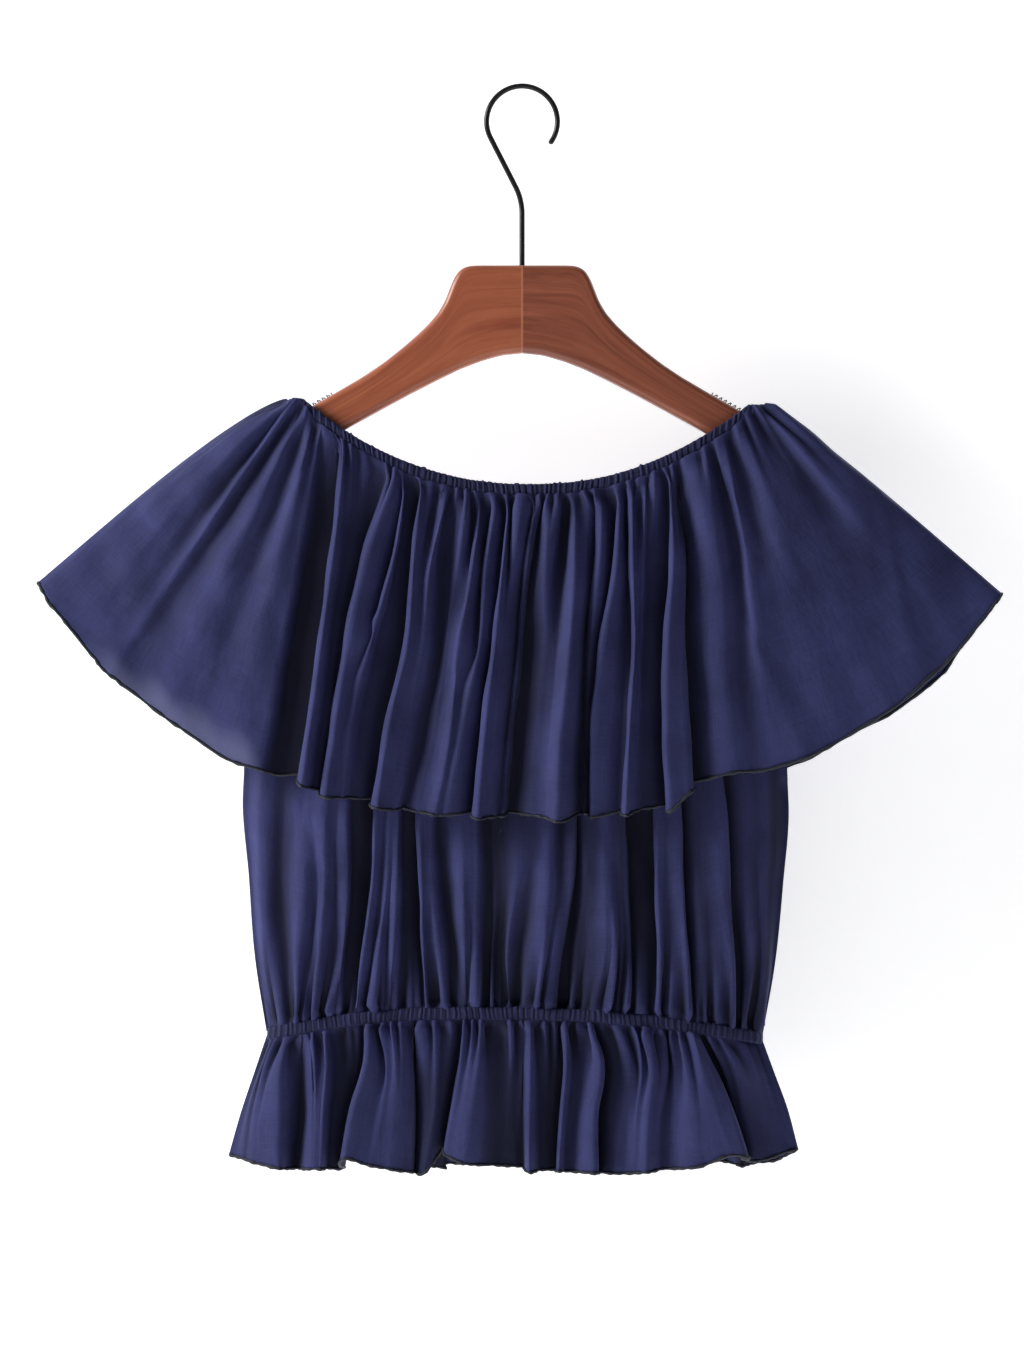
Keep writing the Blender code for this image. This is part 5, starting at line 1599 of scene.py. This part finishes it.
def cloth_material(looks):
    """Navy dyed woven cloth: threads, slubs and crinkles as relief, uneven dye, a faint fibre sheen.

    The colour is painted paler where one layer hangs against the light, as painted backlight, and darker in
    the hollows, as painted shade.
    """
    made, tree, shader = blank_material("Navy woven cloth")
    weave = placed_group(tree, "Soft weave", weave_group, Vector=cloth_place(tree))
    shade = share_between(tree, weave["Shade"], 0.25, 0.75)
    colour = mix_colour(tree, shade, looks.cloth_dark, looks.cloth_light)
    # Painted light and shade: one layer is painted paler where light shows through it, and the hollows of the
    # folds are painted dark.
    tints = (("painted_backlight", 0.60, looks.cloth_painted_backlight), ("hollow", 0.92, looks.cloth_painted_shade))
    for mask, amount, tint in tints:
        masked = node(tree, "ShaderNodeAttribute", attribute_name=mask).outputs["Fac"]
        colour = mix_colour(tree, maths(tree, "MULTIPLY", masked, amount), colour, tint)
    feed(
        shader,
        Base_Color=colour,
        Roughness=maths(tree, "MULTIPLY_ADD", shade, 0.10, 0.70),
        Specular_IOR_Level=0.26,
        Specular_Tint=(0.82, 0.84, 1.0, 1.0),
        Sheen_Weight=looks.cloth_sheen,
        Sheen_Roughness=0.45,
        Sheen_Tint=(0.50, 0.55, 1.0, 1.0),
        Normal=bump(tree, weave["Height"], 0.55, 0.00028),
    )
    return made


def thread_material(looks):
    """Overlock thread on the hems: short slanted stitches, as a sine of the way along and round."""
    made, tree, shader = blank_material("Hem thread")
    place = cloth_place(tree)
    along, around, _ = split(tree, place)
    slant = maths(tree, "MULTIPLY_ADD", along, 3600.0, maths(tree, "MULTIPLY", around, 2200.0))
    wave = maths(tree, "MULTIPLY_ADD", maths(tree, "SINE", slant), 0.5, 0.5)
    fuzz = noise(tree, place, Scale=320.0, Detail=2.0)
    # Partly painted shade: the thread is painted darker between its slanted stitches, where the relief is
    # low; the noise is a random change in its tone.
    tone = maths(tree, "MULTIPLY_ADD", fuzz, 0.6, maths(tree, "MULTIPLY", wave, 0.4))
    feed(
        shader,
        Base_Color=mix_colour(tree, tone, looks.thread_dark, looks.thread_light),
        Roughness=maths(tree, "MULTIPLY_ADD", wave, 0.15, 0.55),
        Normal=bump(tree, wave, 0.6, 0.0003),
    )
    return made


def wood_material(name, light, dark, seed):
    """Stained and lacquered wood: grain bands, dark pores, a pale line of glue at the joint, a satin coat."""
    made, tree, shader = blank_material(name)
    place = cloth_place(tree)
    grain = placed_group(tree, "Wood grain", grain_group, Vector=place, Seed=seed)
    colour = mix_colour(tree, grain["Bands"], dark, light)
    pore = maths(tree, "MULTIPLY", grain["Pores"], 0.35)
    colour = mix_colour(tree, pore, colour, [0.35 * part for part in dark])
    joint = maths(tree, "MULTIPLY", maths(tree, "LESS_THAN", split(tree, place)[0], GLUE_SHOWS), 0.55)
    feed(
        shader,
        Base_Color=mix_colour(tree, joint, colour, linear(196, 134, 92)),
        Roughness=maths(tree, "MULTIPLY_ADD", grain["Pores"], 0.15, 0.36),
        Coat_Weight=0.16,
        Coat_Roughness=0.34,
        Normal=bump(tree, grain["Height"], 0.25, 0.00012),
    )
    return made


def wire_material(looks):
    """Black satin enamel on wire, with rubbed spots that show a little brighter."""
    made, tree, shader = blank_material("Black hook wire")
    spots = noise(tree, object_place(tree), Scale=240.0, Detail=4.0, Roughness=0.6)
    feed(
        shader,
        Base_Color=mix_colour(tree, spots, looks.wire_colour, (0.030, 0.028, 0.032)),
        Roughness=maths(tree, "MULTIPLY_ADD", spots, 0.2, 0.22),
        Metallic=0.6,
        Normal=bump(tree, spots, 0.12, 0.0001),
    )
    return made


def steel_material(looks):
    """Dull grey plated steel with dark grime in patches of noise."""
    made, tree, shader = blank_material("Grey coil steel")
    grit = noise(tree, object_place(tree), Scale=600.0, Detail=4.0, Roughness=0.65)
    spots = share_between(tree, grit, 0.35, 0.65)
    feed(
        shader,
        Base_Color=mix_colour(tree, spots, (0.055, 0.058, 0.055), looks.steel_colour),
        Roughness=maths(tree, "MULTIPLY_ADD", spots, -0.15, 0.48),
        Metallic=0.85,
        Normal=bump(tree, grit, 0.15, 0.0001),
    )
    return made


def wall_material(name, colour, glow):
    """A matt painted backdrop with a barely visible mottle. It is clear from behind and lets light by."""
    made, tree, shader = blank_material(name)
    mottle = noise(tree, object_place(tree), Scale=3.0, Detail=3.0)
    behind = node(tree, "ShaderNodeNewGeometry").outputs["Backfacing"]
    shadow = node(tree, "ShaderNodeLightPath").outputs["Is Shadow Ray"]
    feed(
        shader,
        Base_Color=mix_colour(tree, mottle, [0.985 * part for part in colour], colour),
        Roughness=0.9,
        Specular_IOR_Level=0.0,
        Emission_Color=(1.0, 1.0, 1.0, 1.0),
        Emission_Strength=glow,
        Alpha=maths(tree, "SUBTRACT", 1.0, maths(tree, "MAXIMUM", behind, shadow)),
    )
    return made


def a_number(name, description, default, **more):
    """A setting that is a number and not below 0."""
    return bpy.props.FloatProperty(name=name, description=description, default=default, min=0.0, **more)


def a_length(name, description, default):
    """A setting that is a length in metres."""
    return a_number(name, description, default, unit="LENGTH", subtype="DISTANCE")


def a_colour(name, description, default):
    """A setting that is a colour."""
    return bpy.props.FloatVectorProperty(
        name=name, description=description, default=default, subtype="COLOR", size=3, min=0.0, max=1.0
    )


class RuffleClothLooks(bpy.types.PropertyGroup):
    """Sizes and colours of the garment's cloth."""

    cloth_thickness: a_length("Cloth thickness", "How thick the woven cloth is", 0.0005)
    gather_pitch: a_length("Gather pitch", "Distance between two gathers at an elastic", 0.0088)
    ridge_pitch: a_length("Casing ridge pitch", "Distance between two ridges of an elastic casing", 0.0036)
    gather_height: a_length("Gather height", "How deep the fine gathers are next to an elastic", 0.0078)
    wrinkle_height: a_length("Crease height", "How high the faint creases between folds rise", 0.0007)
    hem_thread_radius: a_length("Hem thread radius", "Radius of the overlocked roll on a hem", 0.0011)
    cloth_dark: a_colour("Cloth, deep dye", "Colour where the dye is deepest", linear(40, 43, 82))
    cloth_light: a_colour("Cloth, thin dye", "Colour where the dye is thinnest", linear(57, 60, 107))
    # Painted backlight: the paler colour of one layer of cloth where light shows through it.
    cloth_painted_backlight: a_colour(
        "Cloth, single layer", "Colour of one layer with light behind it", linear(108, 110, 148)
    )
    # Painted shade: the dark colour painted into the hollows of the folds.
    cloth_painted_shade: a_colour(
        "Cloth, hollows", "Colour deep in a fold, where nothing has faded the dye", linear(8, 10, 24)
    )
    cloth_sheen: a_number(
        "Cloth sheen", "Strength of the light that loose fibres catch", 0.10, max=1.0, subtype="FACTOR"
    )
    thread_dark: a_colour("Hem thread, shadow", "Darkest colour of the hem thread", linear(4, 7, 16))
    thread_light: a_colour("Hem thread, light", "Brightest colour of the hem thread", linear(19, 28, 50))


class RuffleHangerLooks(bpy.types.PropertyGroup):
    """Sizes and colours of the wooden hanger."""

    wood_thickness: a_length("Wood thickness", "Thickness of the hanger's board", 0.016)
    wood_rounding: a_length("Edge rounding", "Radius of the board's rolled edges", 0.0042)
    coil_radius: a_length("Grip coil radius", "Radius of the coil on each arm", 0.0019)
    coil_wire: a_length("Grip wire radius", "Radius of the coil's wire", 0.00042)
    wood_left_light: a_colour("Left wood, light grain", "Light grain of the left half", linear(180, 104, 72))
    wood_left_dark: a_colour("Left wood, dark grain", "Dark grain of the left half", linear(142, 72, 50))
    wood_right_light: a_colour(
        "Right wood, light grain", "Light grain of the right half", linear(158, 90, 66)
    )
    wood_right_dark: a_colour("Right wood, dark grain", "Dark grain of the right half", linear(114, 60, 44))
    wire_colour: a_colour("Wire", "Enamel colour of the hook", (0.012, 0.012, 0.014))
    steel_colour: a_colour("Grip steel", "Colour of the coil's plating", (0.33, 0.35, 0.33))


class RuffleStageLooks(bpy.types.PropertyGroup):
    """Light, backdrop and camera."""

    camera_distance: a_length("Camera distance", "From the lens to the front of the garment", 2.6)
    frame_height: a_length("Frame height", "Height of the picture at the garment's front", 0.917)
    wall_distance: a_length("Wall distance", "From the hanging point back to the wall", 0.105)
    key_power: a_number("Key light", "Power of the large light at the upper left", 69.0, unit="POWER")
    fill_power: a_number("Fill light", "Power of the light at the right", 1.6, unit="POWER")
    sky_strength: a_number("Room light", "Strength of the even light all round", 0.04)
    wall_glow: a_number("Wall glow", "Light that the backdrop gives of itself", 0.53)
    wall_colour: a_colour("Wall", "Colour of the backdrop", (0.93, 0.93, 0.94))


def both_halves(name, build, hemmed):
    """Builds the front and back of a piece of cloth, with the thread on their hems."""
    looks = bpy.context.scene.ruffle_cloth
    fabric = cloth_material(looks)
    thread = thread_material(looks) if hemmed else None
    for side, sign in SIDES.items():
        obj, points = build(side, looks, fabric)
        hem = None
        if hemmed:
            hem = hem_thread(f"{name}_{side}_hem", points[-1], sign, looks.hem_thread_radius, thread)


class RUFFLE_OT_flounce(bpy.types.Operator):
    """Builds both halves of the flounce with the thread on their hems"""

    bl_idname = "ruffle_top.flounce"
    bl_label = "Flounce"

    def execute(self, context):
        both_halves("flounce", flounce, True)
        return {"FINISHED"}


class RUFFLE_OT_bodice(bpy.types.Operator):
    """Builds both halves of the bodice"""

    bl_idname = "ruffle_top.bodice"
    bl_label = "Bodice"

    def execute(self, context):
        both_halves("bodice", bodice, False)
        return {"FINISHED"}


class RUFFLE_OT_peplum(bpy.types.Operator):
    """Builds both halves of the peplum with the thread on their hems"""

    bl_idname = "ruffle_top.peplum"
    bl_label = "Peplum"

    def execute(self, context):
        both_halves("peplum", peplum, True)
        return {"FINISHED"}


class RUFFLE_OT_casings(bpy.types.Operator):
    """Builds the gathered elastic casings at the neck and the waist"""

    bl_idname = "ruffle_top.casings"
    bl_label = "Elastic casings"

    def execute(self, context):
        looks = context.scene.ruffle_cloth
        cloth = (looks, cloth_material(looks))
        casing("neck_casing", NECK, NECK_CASING_THICK, neck_casing_tall, neck_middle_drop, *cloth, 1.0)
        casing("waist_casing", WAIST, WAIST_CASING_THICK, waist_casing_tall, waist_middle_drop, *cloth, 3.0)
        return {"FINISHED"}


class RUFFLE_OT_hanger(bpy.types.Operator):
    """Builds the two wooden halves of the hanger"""

    bl_idname = "ruffle_top.hanger"
    bl_label = "Wooden hanger"

    def execute(self, context):
        looks = context.scene.ruffle_hanger
        left = wood_material("Stained wood, left", looks.wood_left_light, looks.wood_left_dark, 0.0)
        right = wood_material("Stained wood, right", looks.wood_right_light, looks.wood_right_dark, 3.7)
        hanger_half("hanger_left", -1.0, left, looks)
        hanger_half("hanger_right", 1.0, right, looks)
        return {"FINISHED"}


class RUFFLE_OT_hardware(bpy.types.Operator):
    """Builds the hook and the two coil grips"""

    bl_idname = "ruffle_top.hardware"
    bl_label = "Hook and grips"

    def execute(self, context):
        looks = context.scene.ruffle_hanger
        hook(wire_material(looks))
        steel = steel_material(looks)
        grip("grip_left", -1.0, looks, steel)
        grip("grip_right", 1.0, looks, steel)
        return {"FINISHED"}


def area_light(name, place, size, power, colour):
    """A square light at a place, turned to the middle of the garment."""
    data = bpy.data.lights.new(name, "AREA")
    data.size = size
    data.energy = power
    data.color = colour
    obj = bpy.data.objects.new(name, data)
    obj.location = place
    obj.rotation_euler = (Vector(LIGHT_AIM) - Vector(place)).to_track_quat("-Z", "Y").to_euler()
    bpy.context.scene.collection.objects.link(obj)


def flat_sheet(name, low, high, finish):
    """A flat backdrop between two opposite corners, with both edges shared out evenly over a few cells.

    x goes across it, and y and z go together from the first corner's to the second's.
    """
    share = np.linspace(0.0, 1.0, 5)
    up, across = np.meshgrid(share, share, indexing="ij")
    low, high = np.array(low), np.array(high)
    blend = np.stack([across, up, up], axis=-1)
    points = low * (1.0 - blend) + high * blend
    new_object(name, points, (up, across), finish, flip=True)


class RUFFLE_OT_stage(bpy.types.Operator):
    """Builds the wall, the floor, the lights and the camera"""

    bl_idname = "ruffle_top.stage"
    bl_label = "Stage"

    def execute(self, context):
        scene = context.scene
        looks = scene.ruffle_stage
        scene.view_settings.view_transform = "Standard"
        paint = wall_material("Pale wall", looks.wall_colour, looks.wall_glow)
        y, x = looks.wall_distance, ROOM_HALF
        flat_sheet("wall", (-x, y, FLOOR_Z), (x, y, WALL_TOP_Z), paint)
        flat_sheet("floor", (-x, -FLOOR_HALF, FLOOR_Z), (x, FLOOR_HALF, FLOOR_Z), paint)
        area_light("Key light", (-2.1, -0.72, 0.62), 0.9, looks.key_power, (1.0, 0.99, 0.98))
        area_light("Fill light", (1.3, -2.6, 0.0), 1.8, looks.fill_power, (0.97, 0.98, 1.0))
        back_power = looks.key_power * BACK_LIGHT_SHARE
        area_light("Back light", (1.9, 1.9, 0.75), 1.2, back_power, (1.0, 0.99, 0.98))
        scene.world = bpy.data.worlds.new("Room")
        scene.world.use_nodes = True
        room = scene.world.node_tree
        seen = node(room, "ShaderNodeLightPath").outputs["Is Camera Ray"]
        bright = maths(room, "MULTIPLY_ADD", seen, 1.0 - looks.sky_strength, looks.sky_strength)
        feed(room.nodes["Background"], Color=(1.0, 1.0, 1.0, 1.0), Strength=bright)
        data = bpy.data.cameras.new("Camera")
        data.sensor_fit = "VERTICAL"
        data.sensor_height = SENSOR_HEIGHT_MM
        data.lens = SENSOR_HEIGHT_MM * looks.camera_distance / looks.frame_height
        camera = bpy.data.objects.new("Camera", data)
        camera.location = CAMERA_AIM + Vector((0.0, -looks.camera_distance - 0.02, 0.0))
        camera.rotation_euler = (math.pi / 2, 0.0, 0.0)
        scene.collection.objects.link(camera)
        scene.camera = camera
        return {"FINISHED"}


OPERATORS = (
    RUFFLE_OT_flounce,
    RUFFLE_OT_bodice,
    RUFFLE_OT_peplum,
    RUFFLE_OT_casings,
    RUFFLE_OT_hanger,
    RUFFLE_OT_hardware,
    RUFFLE_OT_stage,
)
SETTINGS = {
    "ruffle_cloth": RuffleClothLooks,
    "ruffle_hanger": RuffleHangerLooks,
    "ruffle_stage": RuffleStageLooks,
}


class RUFFLE_PT_panel(bpy.types.Panel):
    """Lists the pieces of the garment and their settings."""

    bl_label = "Ruffle top"
    bl_idname = "RUFFLE_PT_panel"
    bl_space_type = "VIEW_3D"
    bl_region_type = "UI"
    bl_category = "Ruffle top"

    def draw(self, context):
        for group in SETTINGS:
            settings = getattr(context.scene, group)
            box = self.layout.box()
            for name in settings.__annotations__:
                box.prop(settings, name)
        for operator in OPERATORS:
            self.layout.operator(operator.bl_idname)


def register():
    """Adds the settings, the operators and the panel."""
    for name, group in SETTINGS.items():
        bpy.utils.register_class(group)
        setattr(bpy.types.Scene, name, bpy.props.PointerProperty(type=group))
    for shown in (*OPERATORS, RUFFLE_PT_panel):
        bpy.utils.register_class(shown)


def unregister():
    """Takes them away again."""
    for shown in (RUFFLE_PT_panel, *reversed(OPERATORS)):
        bpy.utils.unregister_class(shown)
    for name, group in reversed(SETTINGS.items()):
        delattr(bpy.types.Scene, name)
        bpy.utils.unregister_class(group)


def main():
    """Builds every piece and the stage."""
    register()
    bpy.ops.ruffle_top.flounce()
    bpy.ops.ruffle_top.bodice()
    bpy.ops.ruffle_top.peplum()
    bpy.ops.ruffle_top.casings()
    bpy.ops.ruffle_top.hanger()
    bpy.ops.ruffle_top.hardware()
    bpy.ops.ruffle_top.stage()
    bpy.context.view_layer.update()


if __name__ == "__main__":
    main()
